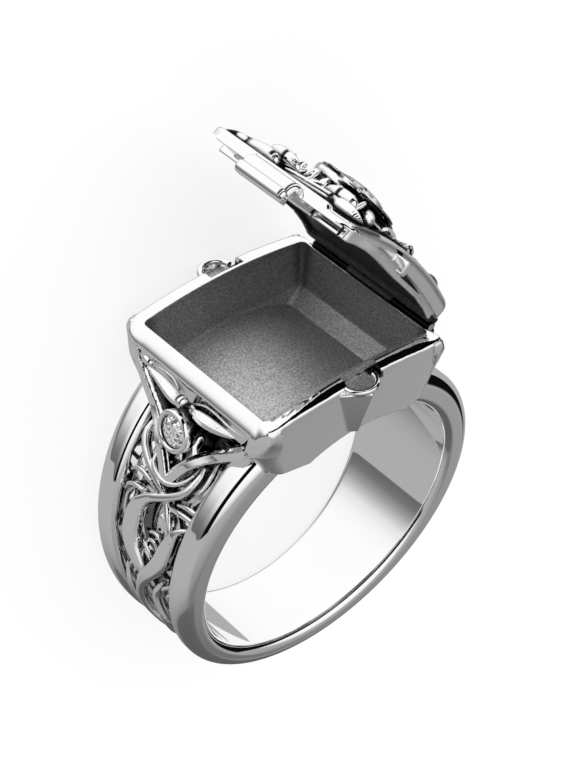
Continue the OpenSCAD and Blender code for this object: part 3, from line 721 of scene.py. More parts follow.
def vines_sdf(P):
    """In the unrolled frame: s along the band, y, r."""
    s, y, r = P[:, 0], P[:, 1], P[:, 2]
    d = np.full(len(s), 0.9)
    for q, lo, hi in VT:
        m = (s > lo[0]) & (s < hi[0]) & (y > lo[1]) & (y < hi[1])
        if not m.any():
            continue
        l, _, (rc, w, h) = near_line(s[m], y[m], q)
        rho = np.minimum(w, h) * 0.80
        qx = l - (w - rho); qy = np.abs(r[m] - rc) - (h - rho)
        e = np.hypot(np.maximum(qx, 0), np.maximum(qy, 0)) + np.minimum(np.maximum(qx, qy), 0) - rho
        dm = d[m]
        d[m] = smin(dm, e, 0.06)
    return d


def roll_up(x, n):
    """Unrolled (s, y, r) to the ring frame on the -X side, with the angle round the band."""
    a = x[:, 0] / VINE_S * math.pi / 180
    v = np.stack([-x[:, 2] * np.sin(a), x[:, 1], x[:, 2] * np.cos(a)], 1)
    return v, a


def make_filigree():
    x, f, ln = sdf_mesh(vines_sdf, (38 * VINE_S, -4.2, 10.4), (134 * VINE_S, 4.2, 12.3), 0.085 * H)
    v, a = roll_up(x, None)
    fa = a[f].ravel()
    # normal components: along s, y, r
    n = np.stack([-ln[:, 0] * np.cos(fa) - ln[:, 2] * np.sin(fa), ln[:, 1],
                  -ln[:, 0] * np.sin(fa) + ln[:, 2] * np.cos(fa)], 1)
    # s, y, r is a left-handed frame on this side
    p = v[f]
    g = np.cross(p[:, 1] - p[:, 0], p[:, 2] - p[:, 0])
    if np.sum(g * n.reshape(-1, 4, 3)[:, 0]) < 0:
        f = f[:, ::-1]
        n = n.reshape(-1, 4, 3)[:, ::-1].reshape(-1, 3)
    # inside the band nothing shows
    return v, f, n


# ------------------------------------------------------------------ lid, drawn shut
LIP_X = [-6.6, -5.6, -4.9, -3.6, -2.3, -0.8, 0.3, 2.0, 3.3, 4.7, 6.3]
LIP_Z = [12.98, 13.12, 13.34, 13.58, 13.68, 13.69, 13.70, 13.80, 13.86, 13.75, 13.43]
LID_TOP_R = 23.0


def border_top(x):
    return 15.42 - LID_TOP_R + np.sqrt(LID_TOP_R ** 2 - (x - 1.5) ** 2)


def lid_top(x):
    return border_top(x) - 0.5


def lid_plan(x, y, grow=0.0):
    return rrect(x + 0.45, y, 6.8 + grow, 6.45 + grow, 1.25 + grow)


def lid_sdf(P):
    x, y, z = P[:, 0], P[:, 1], P[:, 2]
    ky = np.abs(y)
    plan = lid_plan(x, y)
    tb = np.hypot(x - 1.5, z - (15.42 - LID_TOP_R)) - LID_TOP_R
    rb = np.hypot(x, z - ARCH_Z)
    # raised border and the sunk plate inside it
    outer = rmax(plan, tb, 0.62)
    outer = rmax(outer, x - 6.35, 1.15)
    well = rrect(x + 0.45, y, 6.8 - 1.15, 6.45 - 1.15, 0.5)
    outer = rmax(outer, -np.maximum(well, -(tb + 0.5)), 0.16)
    d = np.maximum(outer, 34.5 - rb)
    # bar along the free edge, round the corners with it
    top = 14.22 - 0.36 * smooth(-y, 3.9, 4.5)
    bar = rmax(np.maximum(plan + 0.10, -(plan + 0.98)), z - top, 0.28)
    bar = rmax(rmax(bar, 13.37 - z, 0.10), x + 5.85, 0.25)
    bar = rmax(bar, y - 6.40, 0.55)
    bar = np.maximum(bar, np.minimum(34.46 - rb, x + 7.12))     # clear of the rim
    d = np.minimum(d, bar)
    d = np.maximum(d, -np.maximum(z - 13.37, x + 6.15))
    # lip
    lz = np.interp(x, LIP_X, LIP_Z)
    lo = rrect(x - 0.12, y, 6.08, 5.74, 0.35)
    li = rrect(x - 0.12, y, 5.62, 5.28, 0.2)
    lp = rmax(np.maximum(lo, -li), (lz - z) * 0.95, 0.07)
    lp = np.maximum(lp, rb - 34.75)
    # sunk band in the lip toward the hinge
    band = np.maximum(np.abs(z - (lz + 0.62)) - 0.30, 0.6 - x)
    lp = np.maximum(lp, -np.maximum(band, 5.52 - ky))
    # breaks in the front of the lip
    cut = np.minimum(np.abs(y + 5.15) - 0.10, np.minimum(np.abs(y + 2.85) - 0.07, np.abs(y - 3.1) - 0.09))
    lp = np.maximum(lp, -np.maximum(cut, x + 5.2))
    d = np.minimum(d, lp)
    # leaf of the hinge
    leaf = np.minimum(box(x - 6.72, y, z - 13.45, 0.07, 5.40, 0.27, 0.02), box(x - 6.2, y, z - 13.88, 0.62, 5.60, 0.17, 0.03))
    d = np.minimum(d, np.maximum(leaf, -np.maximum(13.70 - z, x - 6.64)))
    # side tabs
    tab = box(x + 1.85, ky - 6.86, z - 14.28, 0.23, 0.66, 0.44, 0.08)
    d = np.minimum(d, np.maximum(tab, np.minimum(34.46 - rb, 7.05 - ky)))
    # middle knuckle and room for the outer ones
    kn = np.hypot(x - HINGE[0], z - HINGE[2])
    web = box(x - 6.6, y, z - 14.0, 0.6, 2.0, 0.28, 0.1)
    d = np.maximum(d, -np.maximum(kn - 0.40, 2.05 - ky))
    d = np.minimum(d, np.maximum(kn - 0.38, ky - 2.02))
    d = np.minimum(d, np.maximum(web, ky - 2.02))
    d = np.maximum(d, 0.26 - kn)
    # room for the catch
    d = np.maximum(d, -box(x + 8.0, y, z - 13.6, 0.9, 2.2, 1.4, 0.05))
    return d


def ball3(P, c, r):
    return np.sqrt((P[:, 0] - c[0]) ** 2 + (P[:, 1] - c[1]) ** 2 + (P[:, 2] - c[2]) ** 2) - r


def scroll_tables():
    """Stems and leaves as x, y, z, radius; z counts from the plate."""
    T = []

    def add(rows, k=4, rel=True):
        q = np.array(rows, float)
        if rel:
            q[:, 2] += lid_top(q[:, 0])
        q = catmull(q, k)
        T.append((q, q[:, :3].min(0) - 1.0, q[:, :3].max(0) + 1.0))

    add([(-5.5, 1.98, 14.50, .12), (-5.5, 2.35, 14.66, .34), (-5.5, 3.0, 14.72, .39), (-5.5, 3.8, 14.66, .35),
         (-5.5, 4.6, 14.56, .31), (-5.5, 5.6, 14.46, .29), (-5.55, 6.3, 14.28, .20), (-5.4, 6.6, 14.2, .1)], rel=False)
    add([(-5.1, -2.25, 14.5, .06), (-5.1, -2.7, 14.62, .28), (-5.1, -3.4, 14.70, .42), (-5.1, -4.2, 14.68, .41),
         (-5.05, -4.9, 14.58, .26), (-5.0, -5.4, 14.5, .06)], rel=False)
    for dx, dz in ((0, 0), (0.14, 0.27)):
        add([(-5.7 + dx, 1.1, 14.30 + dz, .06), (-5.6 + dx, 0.3, 14.40 + dz, .10), (-5.42 + dx, -1.0, 14.52 + dz, .10),
             (-5.2 + dx, -2.5, 14.66 + dz, .09), (-5.0 + dx, -3.2, 14.7 + dz, .06)], rel=False)
    for sy in (1, -1):
        # tall leaves beside the middle, on their stalks
        add([(-4.5, sy * 3.62, 15.22, .18), (-4.5, sy * 3.3, 15.28, .38), (-4.5, sy * 2.7, 15.32, .42), (-4.5, sy * 2.1, 15.28, .40),
             (-4.45, sy * 1.6, 15.20, .30), (-4.4, sy * 1.3, 15.05, .14)], rel=False)
        add([(-4.4, sy * 2.7, 14.0, .30), (-4.45, sy * 2.7, 15.0, .24)], rel=False)
        add([(-3.9, sy * 2.2, 14.4, .2), (-3.7, sy * 1.9, 15.0, .22), (-3.3, sy * 1.7, 15.4, .16)], rel=False)
        # strokes standing side by side
        for i in range(6):
            cy = 3.05 - 0.56 * i
            lean = (0.10, -0.26)[i % 2]
            add([(-3.45, sy * cy, 15.05, .10), (-3.35, sy * (cy + lean * 0.5), 15.45, .17), (-3.2, sy * (cy + lean), 15.82 - 0.05 * (i % 3), .14)], 2, rel=False)
        # leaf blocks outside the middle
        add([(-3.6, sy * 4.7, 14.9, .12), (-3.3, sy * 4.3, 15.15, .30), (-2.9, sy * 3.8, 15.35, .36), (-2.5, sy * 3.3, 15.55, .26), (-2.2, sy * 3.0, 15.6, .14)], rel=False)
        add([(-2.7, sy * 5.0, 15.05, .10), (-2.0, sy * 4.7, 15.30, .30), (-1.2, sy * 4.4, 15.46, .34), (-0.4, sy * 4.2, 15.5, .26), (0.1, sy * 4.1, 15.45, .12)], rel=False)
        # upright ring at the side edge with beads before it, a leaf behind
        add([(-0.25 + .42 * math.cos(i * math.pi / 6), sy * (5.55 + 0.05 * (i % 2)), 15.36 + .34 * math.sin(i * math.pi / 6), .13) for i in range(13)], 2, rel=False)
        for bx, by, bz, br in ((-1.75, 5.35, 15.12, .24), (-1.25, 5.45, 15.22, .26)):
            add([(bx, sy * by, bz, br), (bx + 0.08, sy * by, bz + 0.1, br)], 1, rel=False)
        add([(0.3, sy * 5.5, 15.1, .2), (1.0, sy * 5.4, 15.25, .26), (1.9, sy * 5.1, 15.32, .22), (2.6, sy * 4.7, 15.3, .1)], rel=False)
        add([(0.6, sy * 4.6, 15.3, .14), (1.3, sy * 4.2, 15.55, .30), (2.0, sy * 3.6, 15.68, .36), (2.5, sy * 2.9, 15.66, .30), (2.8, sy * 2.2, 15.5, .14)], rel=False)
        # stems toward the hinge
        add([(3.1, sy * 2.0, .55, .10), (3.5, sy * 2.5, .72, .24), (3.7, sy * 3.2, .70, .26), (3.6, sy * 3.9, .55, .12)])
        add([(4.6, sy * 0.3, .45, .08), (5.0, sy * 1.0, .55, .20), (5.1, sy * 1.8, .55, .22), (4.9, sy * 2.6, .45, .10)])
        add([(2.2, sy * 5.9, .35, .08), (3.0, sy * 5.8, .50, .20), (3.9, sy * 5.7, .50, .20), (4.7, sy * 5.4, .35, .08)])
        add([(4.9, sy * 0.5, .2, .2), (4.5, sy * 1.3, .4, .3), (3.9, sy * 2.3, .5, .36), (3.7, sy * 3.3, .42, .3), (3.9, sy * 4.0, .2, .14)])
        rows = []
        for i in range(15):
            t = i / 14
            a = math.radians(120) + t * 2.5 * math.pi
            r = 0.85 * (1 - 0.78 * t)
            rows.append((4.3 + r * math.cos(a), sy * (4.4 + r * math.sin(a)), .35 * (0.65 + 0.55 * t), .2 * (1 - 0.3 * t)))
        add(rows, 2)
    add([(-5.3, 0.1, .1, .12), (-4.9, 0.1, .35, .26), (-4.2, 0.1, .55, .36), (-3.3, 0.1, .7, .34), (-2.6, 0.1, .6, .2)])
    add([(5.4, 0.0, .15, .2), (4.6, 0.0, .45, .34), (3.6, 0.0, .7, .42), (2.7, 0.0, .7, .3)])
    return T


SC = scroll_tables()


def relief_sdf(P):
    x, y, z = P[:, 0], P[:, 1], P[:, 2]
    base = lid_top(x)
    t = z - base
    d = np.full(len(x), 0.9)
    for q, lo, hi in SC:
        m = ((x > lo[0]) & (x < hi[0]) & (y > lo[1]) & (y < hi[1]) & (z > lo[2]) & (z < hi[2]))
        if not m.any():
            continue
        Pm = P[m]
        best = np.full(len(Pm), 1e9)
        for i in range(len(q) - 1):
            a, b = q[i, :3], q[i + 1, :3]
            ab = b - a
            k = np.clip(((Pm - a) @ ab) / (ab @ ab + 1e-12), 0, 1)
            w = Pm - a - k[:, None] * ab
            best = np.minimum(best, np.sqrt((w ** 2).sum(1)) - (q[i, 3] + k * (q[i + 1, 3] - q[i, 3])))
        d[m] = smin(d[m], best, 0.05)
    # the middle: a thick wreath over a collar, a rose in it
    cx, cy = 0.0, 0.1
    r = np.hypot(x - cx, y - cy)
    a = np.arctan2(y - cy, x - cx)
    h = z - 15.05
    zc = 1.07 + 0.055 * (y - cy)
    wreath = np.hypot(r - 2.42, (h - zc) * 1.02) - 0.60
    side = smooth(-y, 0.2, 0.9)
    wreath = np.maximum(wreath, 0.15 * side + 0.001 - np.hypot(r - 2.96, h - zc - 0.02))
    for g_, w_ in ((68, 0.075), (38, 0.10), (-34, 0.10)):
        wreath = np.maximum(wreath, w_ - np.hypot(r - 2.42 - 0.59 * math.cos(math.radians(g_)), h - zc - 0.59 * math.sin(math.radians(g_))))
    collar = np.maximum(rmax(r - 1.95 - 0.25 * np.cos(8 * a) * np.clip(h, 0, 1), h - 0.95, 0.15), -(t + 0.3))
    rose = (np.sqrt((r / 2.25) ** 2 + ((h - 1.25) / 0.80) ** 2) - 1) * 0.75
    gro = np.minimum(np.abs(np.sin(4 * a)) * r / 4 - 0.05, np.abs(r - 0.62) - 0.08)
    gro = np.where(r < 0.5, 1.0, gro)
    rose = np.maximum(rose, -np.maximum(np.maximum(gro, 1.45 - h), r - 1.75))
    edge = 1.68 + 0.14 * np.abs(np.cos(4 * a))
    rose = np.maximum(rose, -np.maximum(edge - r, 1.2 - h))
    mid = np.minimum(np.minimum(wreath, collar), rose)
    d = smin(d, mid, 0.05)
    return np.maximum(d, -(t + 0.25))


def catch_sdf(P):
    x, y, z = P[:, 0], P[:, 1], P[:, 2]
    ky = np.abs(y)
    top = np.hypot(x + 7.25, z - 13.28) - 0.74
    low = box(x + 7.78, y, z - 12.9, 0.50, 9, 0.32, 0.24)
    s = smin(top, low, 0.06)
    s = np.maximum(s, x + 7.12)
    s = np.maximum(s, np.minimum(x + 7.42, 13.28 - z))          # clear of the case
    s = rmax(s, ky - 2.15, 0.34)
    crease = np.hypot(x + 8.02, z - 13.17) - 0.045
    s = np.maximum(s, -crease)
    fl = np.maximum(np.abs(x + 7.80) - 0.34, np.abs(z - 12.42) - 0.34)
    fl = np.maximum(fl, np.minimum(x + 7.88, 12.48 - z))        # and of the petals
    fl = rmax(fl, (-x - 8.02 + 12.56 - z) * 0.707, 0.10)
    fl = rmax(fl, ky - 2.12, 0.14)
    fl = rmax(fl, (ky - 2.12) * 0.7 + (12.35 - z) * 0.7 - 0.05, 0.1)
    groove = box(x + 8.2, y, z - 12.56, 0.12, 9, 0.05, 0.02)
    return np.maximum(np.minimum(s, fl), -groove)


# ------------------------------------------------------------------ settings
BEZ_C = np.array([8.5, 0.1, 10.05])
BEZ_TILT = 15.0


def bezel_frame():
    a = math.radians(BEZ_TILT)
    out = np.array([-math.cos(a), 0, math.sin(a)])      # on the -X side
    up = np.array([math.sin(a), 0, math.cos(a)])
    right = np.array([0, -1.0, 0])
    return out, up, right


def make_bezel():
    """A turned cup with ribs at its back."""
    out, up, right = bezel_frame()
    prof = [(0.0, -2.5), (0.78, -2.5), (0.78, -1.5), (0.98, -1.1), (1.24, -0.72), (1.38, -0.35),
            (1.42, 0.0)]
    prof = [tuple(p) for p in catmull(prof, 5)]
    prof += [(1.415, 0.12), (1.39, 0.22), (1.34, 0.30), (1.27, 0.345), (1.20, 0.355), (1.13, 0.335), (1.075, 0.28),
             (1.05, 0.20), (1.045, 0.05), (1.04, -0.06), (0.9, -0.25), (0.5, -0.4), (0.0, -0.45)]
    n = 96
    P = []
    for j in range(n):
        a = 2 * math.pi * j / n
        row = []
        for r, h in prof:
            k = 0.0
            if -1.6 < h < -0.25 and r > 0.7:
                k = 0.10 * math.sin(math.pi * (h + 1.6) / 1.35) * (0.5 + 0.5 * math.cos(12 * a))
            rr = r - k
            row.append(out * h + up * rr * math.cos(a) + right * rr * math.sin(a))
        P.append(row)
    P = np.array(P) + np.array([-BEZ_C[0], BEZ_C[1], BEZ_C[2]])
    F = grid_faces(P.shape[0], P.shape[1], True, False)
    nr = grid_normals(P, True, False)
    mid = P.shape[1] // 3
    cen = P[:, mid].mean(0)
    if np.sum((P[:, mid] - cen) * nr[:, mid]) < 0:
        F = F[:, ::-1]; nr = -nr
    return P.reshape(-1, 3), F, nr.reshape(-1, 3)[F.ravel()]


def make_stone():
    """A round brilliant: table, crown and pavilion facets, flat faces."""
    out, up, right = bezel_frame()
    R = 1.035
    tr, th, gz, pz = 0.60 * R, 0.27, 0.02, -0.80
    ring = lambda r, z, n, off: [(r * math.cos(2 * math.pi * (i + off) / n), r * math.sin(2 * math.pi * (i + off) / n), z) for i in range(n)]
    V = []
    tab = ring(tr, th, 8, 0.0)
    star = ring(0.80 * R, 0.165, 8, 0.5)
    gird = ring(R, gz, 16, 0.0)
    girl = ring(R, gz - 0.05, 16, 0.0)
    pav = ring(0.42 * R, -0.50, 8, 0.5)
    V = tab + star + gird + girl + pav + [(0, 0, pz)]
    T, S, G, L, P_, C = 0, 8, 16, 32, 48, 56
    F = [list(range(8))]
    for i in range(8):
        j = (i + 1) % 8
        F.append([T + i, S + i, T + j])                       # star
        F.append([T + i, G + 2 * i, S + i])
        F.append([T + j, S + i, G + (2 * j) % 16])
        F.append([S + i, G + 2 * i, G + 2 * i + 1])
        F.append([S + i, G + 2 * i + 1, G + (2 * i + 2) % 16])
        F.append([L + 2 * i, P_ + i, L + 2 * i + 1][::1])
        F.append([L + 2 * i + 1, P_ + i, L + (2 * i + 2) % 16])
        F.append([L + 2 * i, P_ + (i - 1) % 8, P_ + i])
        F.append([P_ + (i - 1) % 8, C, P_ + i])
    for i in range(16):
        j = (i + 1) % 16
        F.append([G + i, L + i, L + j, G + j])
    V = np.array(V)
    V[:, 2] += 0.10
    P = V[:, 2:3] * out + V[:, 0:1] * up + V[:, 1:2] * right + np.array([-BEZ_C[0], BEZ_C[1], BEZ_C[2]])
    return P, F


PETAL_A = [(3.80, -7.58, 12.16, .05), (3.45, -7.60, 12.12, .19), (2.9, -7.62, 12.04, .33), (2.3, -7.66, 11.95, .43),
           (1.7, -7.72, 11.84, .49), (1.15, -7.76, 11.74, .49), (0.75, -7.78, 11.67, .40)]
PETAL_B = [(-0.90, -7.74, 11.74, .28), (-1.25, -7.76, 11.75, .42), (-1.9, -7.76, 11.80, .48), (-2.7, -7.72, 11.87, .43),
           (-3.45, -7.66, 11.96, .32), (-4.0, -7.62, 12.06, .20), (-4.45, -7.58, 12.13, .05)]
ARC_A = [(4.55, -7.20, 11.70, .05), (4.07, -7.16, 11.98, .07), (2.95, -7.12, 12.24, .08), (2.06, -7.12, 12.28, .08),
         (1.44, -7.20, 12.05, .08), (1.10, -7.28, 11.85, .06)]
ARC_B = [(-0.15, -7.40, 11.35, .07), (-0.33, -7.28, 11.78, .08), (-1.40, -7.16, 12.20, .08), (-2.53, -7.16, 12.18, .08),
         (-3.55, -7.18, 12.08, .08), (-4.65, -7.14, 12.18, .06)]


def ridged(P, q):
    """A leaf along a polyline with a ridge outward: columns y, x, z, radius."""
    best = np.full(len(P), 1e9)
    out = np.array([-0.891, 0, 0.454])
    for i in range(len(q) - 1):
        a = q[i, [1, 0, 2]]; b = q[i + 1, [1, 0, 2]]
        ab = b - a
        t = np.clip(((P - a) @ ab) / (ab @ ab + 1e-12), 0, 1)
        w = P - a - t[:, None] * ab
        r = q[i, 3] + t * (q[i + 1, 3] - q[i, 3])
        ln = ab / np.linalg.norm(ab)
        up = np.cross(out, ln); up /= np.linalg.norm(up)
        o, u = w @ out, np.abs(w @ up)
        d = np.maximum(np.linalg.norm(w, axis=1) - r, o * 0.84 + u * 0.545 - 0.72 * r)
        best = np.minimum(best, d)
    return best


def line3(P, q):
    """Distance to a 3-D polyline of spheres, columns y, x, z, radius."""
    best = np.full(len(P), 1e9)
    for i in range(len(q) - 1):
        a = q[i, [1, 0, 2]]; b = q[i + 1, [1, 0, 2]]
        ab = b - a
        t = np.clip(((P - a) @ ab) / (ab @ ab + 1e-12), 0, 1)
        d = np.linalg.norm(P - a - t[:, None] * ab, axis=1) - (q[i, 3] + t * (q[i + 1, 3] - q[i, 3]))
        best = np.minimum(best, d)
    return best


PA, PB = catmull(PETAL_A, 4), catmull(PETAL_B, 4)
PA[:, 3] *= 0.86
PB[:, 3] *= 0.84
QA, QB = catmull(ARC_A, 3), catmull(ARC_B, 3)


def petals_sdf(P):
    x, y, z = P[:, 0], P[:, 1], P[:, 2]
    d = np.minimum(ridged(P, PA), ridged(P, PB))
    c = np.sqrt((x + 7.85) ** 2 + (y - 0.20) ** 2 + (z - 11.98) ** 2)
    d = np.maximum(d, 0.49 - c)
    d = np.minimum(d, c - 0.43)
    # thin arcs behind them
    d = np.minimum(d, np.minimum(line3(P, QA), line3(P, QB)))
    # hollow curl between bud and second petal
    r = np.hypot(np.hypot(y + 0.52, z - 11.62) - 0.27, x + 7.62) - 0.10
    d = smin(d, r, 0.05)
    # small leaf above the first one
    lf = (np.sqrt(((x + 7.22) / 0.32) ** 2 + ((y - 4.3) / 0.50 - (z - 12.2) * 0.3) ** 2 + ((z - 12.2) / 0.33) ** 2) - 1) * 0.33
    return np.minimum(d, lf * 0.8)


# ------------------------------------------------------------------ build
MATS = {}
MATS["shank"] = silver("polished_silver", bump=0.015)
# the blasted grain is a lit and a shaded copy of one finish: bright, above one, in the case hollow (painted light) and
# near black on the lid's underside (painted shade)
MATS["case"] = silver("polished_silver_case", attr="blast", bump=0.015, grain=(0.58, 1.42), blast_tone_and_shade="blast_tone_and_shade", painted_shade="painted_shade", matte="matte")
MATS["lid"] = silver("polished_silver_lid", attr="blast", bump=0.015, grain=(0.03, 0.11), painted_shade="painted_shade", matte="matte")
MATS["vine"] = silver("silver_filigree", dark=0.8, bump=0.03, painted_shade="painted_shade")
MATS["relief"] = silver("silver_relief", dark=0.9, bump=0.03, painted_shade="painted_shade")
MATS["bezel"] = silver("polished_silver_bezel", painted_shade="painted_shade")
MATS["petal"] = silver("polished_silver_petals", painted_shade="painted_shade")

MADE = []


def piece(name, data, mat, body, nodes, slot, **kw):
    v, f, n = data[:3]
    ob = add_mesh(name, v, f, n, **kw)
    ob.data.materials.append(MATS[mat])
    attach(ob, body)
    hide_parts(*nodes)
    MADE.append(ob)
    return ob


piece("band", make_shank(), "shank", "ring", ["shank"], "polished_silver")

cx, cf, cn = sdf_mesh(case_sdf, (-10.3, -8.4, 6.2), (10.3, 8.4, 14.6), 0.118 * H)
q = rrect(cx[:, 0], cx[:, 1], 6.35 - np.maximum(13.3 - cx[:, 2], 0) * 0.1667, 5.85 - np.maximum(13.3 - cx[:, 2], 0) * 0.111, 0.30)
blast = np.where((np.hypot(cx[:, 0], cx[:, 2]) > 10.2), -q + 0.05, -1.0)
flat = (cx[:, 2] < 10.75) & (np.hypot(cx[:, 0], cx[:, 2]) < 10.9)
nx_, ny_, nz_ = np.abs(cx[:, 0]), cx[:, 1], cx[:, 2]
blast = np.maximum(blast, np.minimum(np.minimum(ny_ + 6.14, -5.7 - ny_), np.minimum(6.1 - nx_, nz_ - 13.0)))
rdist = np.hypot(np.hypot(cx[:, 0] - 0.05, np.abs(ny_) - 6.75) - 1.05, nz_ - 13.84)
nf = np.minimum(np.minimum(1.36 - np.abs(cx[:, 0] - 0.4), np.abs(ny_) - 6.0), np.minimum(7.3 - np.abs(ny_), np.minimum(13.66 - nz_, nz_ - 13.3)))
blast = np.maximum(blast, np.minimum(nf, rdist - 0.22))
seat = (nf > -0.04) * np.maximum(smooth(0.40 - rdist, 0.0, 0.08) * (rdist > 0.2), smooth(cx[:, 0], 1.0, 1.2))
# painted light and shade on the blasted hollow: walls darker than the floor, the floor lighter toward -X and -Y, darker
# in the corners, a fixed tone on the rim tops at ±Y
blast_tone_and_shade = np.where(cx[:, 2] > 10.7, 0.37, 0.46)
blast_tone_and_shade = np.where(flat, 0.50 + 0.34 * smooth(1.5 - 0.55 * cx[:, 0] - 0.45 * cx[:, 1], -1.5, 4.5), blast_tone_and_shade)
blast_tone_and_shade = blast_tone_and_shade * (1 - 0.48 * smooth(1.0 - np.hypot(6.2 - nx_, 5.7 - np.abs(ny_)), 0.0, 0.7))
blast_tone_and_shade = np.where((np.abs(ny_) > 5.86) & (nz_ > 13.2), 0.60, blast_tone_and_shade)
# painted shade inside the V frames: dark bands on the inner bevel and deeper in the recess behind it
vs = (-np.abs(cx[:, 0]) + 7.5) * V_DOWN[0] + (cx[:, 2] - 12.3) * V_DOWN[2]
vn = (-np.abs(cx[:, 0]) + 7.5) * V_OUT[0] + (cx[:, 2] - 12.3) * V_OUT[2] + v_bow(vs)
crest = np.interp(vs, [p_[1] for p_ in V_PTS], [-p_[0] for p_ in V_PTS])
ins = smooth(crest - 0.05 - np.abs(ny_), 0.0, 0.1) * (nx_ > 6.3) * (nz_ > 8.5) * (nz_ < 12.75)
painted_shade = ins * np.maximum(0.80 * smooth(-vn, 0.32, 0.50), smooth(-vn, 0.9, 1.2))
# painted shade in the rim notches under the half rings
painted_shade = np.maximum(painted_shade, 0.95 * seat)
blast = np.where(seat > 0.5, -0.05, blast)
# painted shade in the hinge trough
painted_shade = np.maximum(painted_shade, 1.0 * (cx[:, 0] > 6.60) * (cx[:, 0] < 7.9) * (nz_ > 12.9) * (nz_ < 14.05) * (np.abs(ny_) < 5.52))
# painted shade round the petals on the case wall, a painted contact shadow
near = (np.abs(cx[:, 0]) > 6.2) & (cx[:, 2] > 10.0) & (cx[:, 2] < 13.0)
nd = np.full(len(cx), 9.0)
cm = cx[near] * np.array([1.0, 1.0, 1.0]); cm[:, 0] = -np.abs(cm[:, 0])
nd[near] = np.minimum(np.minimum(line3(cm, PA), line3(cm, PB)), np.linalg.norm(cm - np.array([-7.85, 0.2, 11.98]), axis=1) - 0.43)
painted_shade = np.maximum(painted_shade, 0.95 * smooth(0.42 - nd, 0.0, 0.16))
# painted shade in a ring round the bezel cups
bo, bu, br = bezel_frame()
bw = np.stack([-nx_, ny_, nz_], 1) - np.array([-BEZ_C[0], BEZ_C[1], BEZ_C[2]])
bh, brr = bw @ bo, np.hypot(bw @ bu, bw @ br)
painted_shade = np.maximum(painted_shade, 0.95 * smooth(1.66 - brr, 0.0, 0.14) * (np.abs(bh) < 1.2))
cmatte = 0.9 * smooth(-ny_, 5.3, 5.8) * smooth(nx_, 5.4, 6.2) * smooth(13.0 - nz_, 0.0, 0.5)
piece("case_body", (cx, cf, cn), "case", "ring", ["case"], "polished_silver_case", attrs={"blast": blast, "blast_tone_and_shade": blast_tone_and_shade, "painted_shade": painted_shade, "matte": cmatte})

vv = make_filigree()
# painted shade on the vines, darker toward the channel floor
vd = {"painted_shade": 0.85 * smooth(11.30 - np.hypot(vv[0][:, 0], vv[0][:, 2]), 0.0, 0.35)}
piece("vines_left", vv, "vine", "ring", ["filigree_left"], "silver_filigree", attrs=vd)
piece("vines_right", mirror_x(*vv), "vine", "ring", ["filigree_right"], "silver_filigree", attrs=vd)

bz = make_bezel()
bw = bz[0] - np.array([-BEZ_C[0], BEZ_C[1], BEZ_C[2]])
bh, brr = bw @ bo, np.hypot(bw @ bu, bw @ br)
# painted shade inside the cup round the stone and over the back of the cup
bd = {"painted_shade": np.maximum(smooth(1.08 - brr, 0.0, 0.02) * (bh < 0.26), 0.85 * smooth(0.05 - bh, 0.0, 0.2) * (brr > 0.7))}
piece("bezel_cup_left", bz, "bezel", "ring", ["bezel_left"], "polished_silver_bezel", attrs=bd)
piece("bezel_cup_right", mirror_x(*bz), "bezel", "ring", ["bezel_right"], "polished_silver_bezel", attrs=bd)

pt = sdf_mesh(petals_sdf, (-8.6, -5.1, 11.0), (-6.7, 5.0, 12.7), 0.055 * H)
pw = pt[0] - np.array([-7.85, 0.20, 11.98])
pr_ = np.linalg.norm(pw, axis=1)
# painted dark reflections: two dark caps on the bud ball either side of a bright band
pd = {"painted_shade": 0.95 * (pr_ < 0.46) * smooth(np.abs(pw @ np.array([0, 0.80, 0.60])), 0.20, 0.27)}
piece("petal_pair_left", pt, "petal", "ring", ["petals_left"], "polished_silver_petals", attrs=pd)
piece("petal_pair_right", mirror_x(*pt), "petal", "ring", ["petals_right"], "polished_silver_petals", attrs=pd)

lx, lf, lnn = sdf_mesh(lid_sdf, (-7.6, -8.0, 12.7), (7.8, 8.0, 15.8), 0.115 * H)
under = 34.5 + 0.06 - np.hypot(lx[:, 0], lx[:, 2] - ARCH_Z)
lq = -rrect(lx[:, 0] - 0.12, lx[:, 1], 5.66, 5.32, 0.2)
blast = np.minimum(lq, under)
leafm = np.minimum(np.minimum(lx[:, 0] - 5.7, 6.9 - lx[:, 0]), 5.95 - np.abs(lx[:, 1]))
blast = np.maximum(blast, np.minimum(leafm, 14.02 - lx[:, 2]))
sunk = np.minimum(np.minimum(lx[:, 0] - 0.5, 5.6 - np.abs(lx[:, 1])), np.abs(lx[:, 1]) - 5.35)
blast = np.maximum(blast, np.minimum(sunk, under))
lpl = lid_plan(lx[:, 0], lx[:, 1])
up_ = lx[:, 2] - lid_top(lx[:, 0])
# painted shade over the sunk plate along the inside of the raised border
lid_painted_shade = smooth(-lpl - 0.45, 0.0, 0.2) * (up_ > -0.35) * smooth(lx[:, 0] + 6.16, 0.0, 0.05) * smooth(5.9 - lx[:, 0], 0.0, 0.4) * smooth(np.hypot(lx[:, 0], lx[:, 2] - ARCH_Z), 34.74, 34.84)
sd = np.abs(lx[:, 1]) > 6.3


def seg2(x, z, a, b):
    ax_, az_ = b[0] - a[0], b[1] - a[1]
    k = np.clip(((x - a[0]) * ax_ + (z - a[1]) * az_) / (ax_ ** 2 + az_ ** 2), 0, 1)
    return np.hypot(x - a[0] - k * ax_, z - a[1] - k * az_)


# painted shade as a dark crease on the side face beside the tab
g1 = np.minimum(seg2(lx[:, 0], lx[:, 2], (-3.9, 14.17), (-2.3, 14.28)) - 0.06, seg2(lx[:, 0], lx[:, 2], (-2.3, 14.28), (-2.45, 13.9)) - 0.10)
lid_painted_shade = np.maximum(lid_painted_shade, 0.85 * sd * smooth(-g1 + 0.03, 0.0, 0.06))
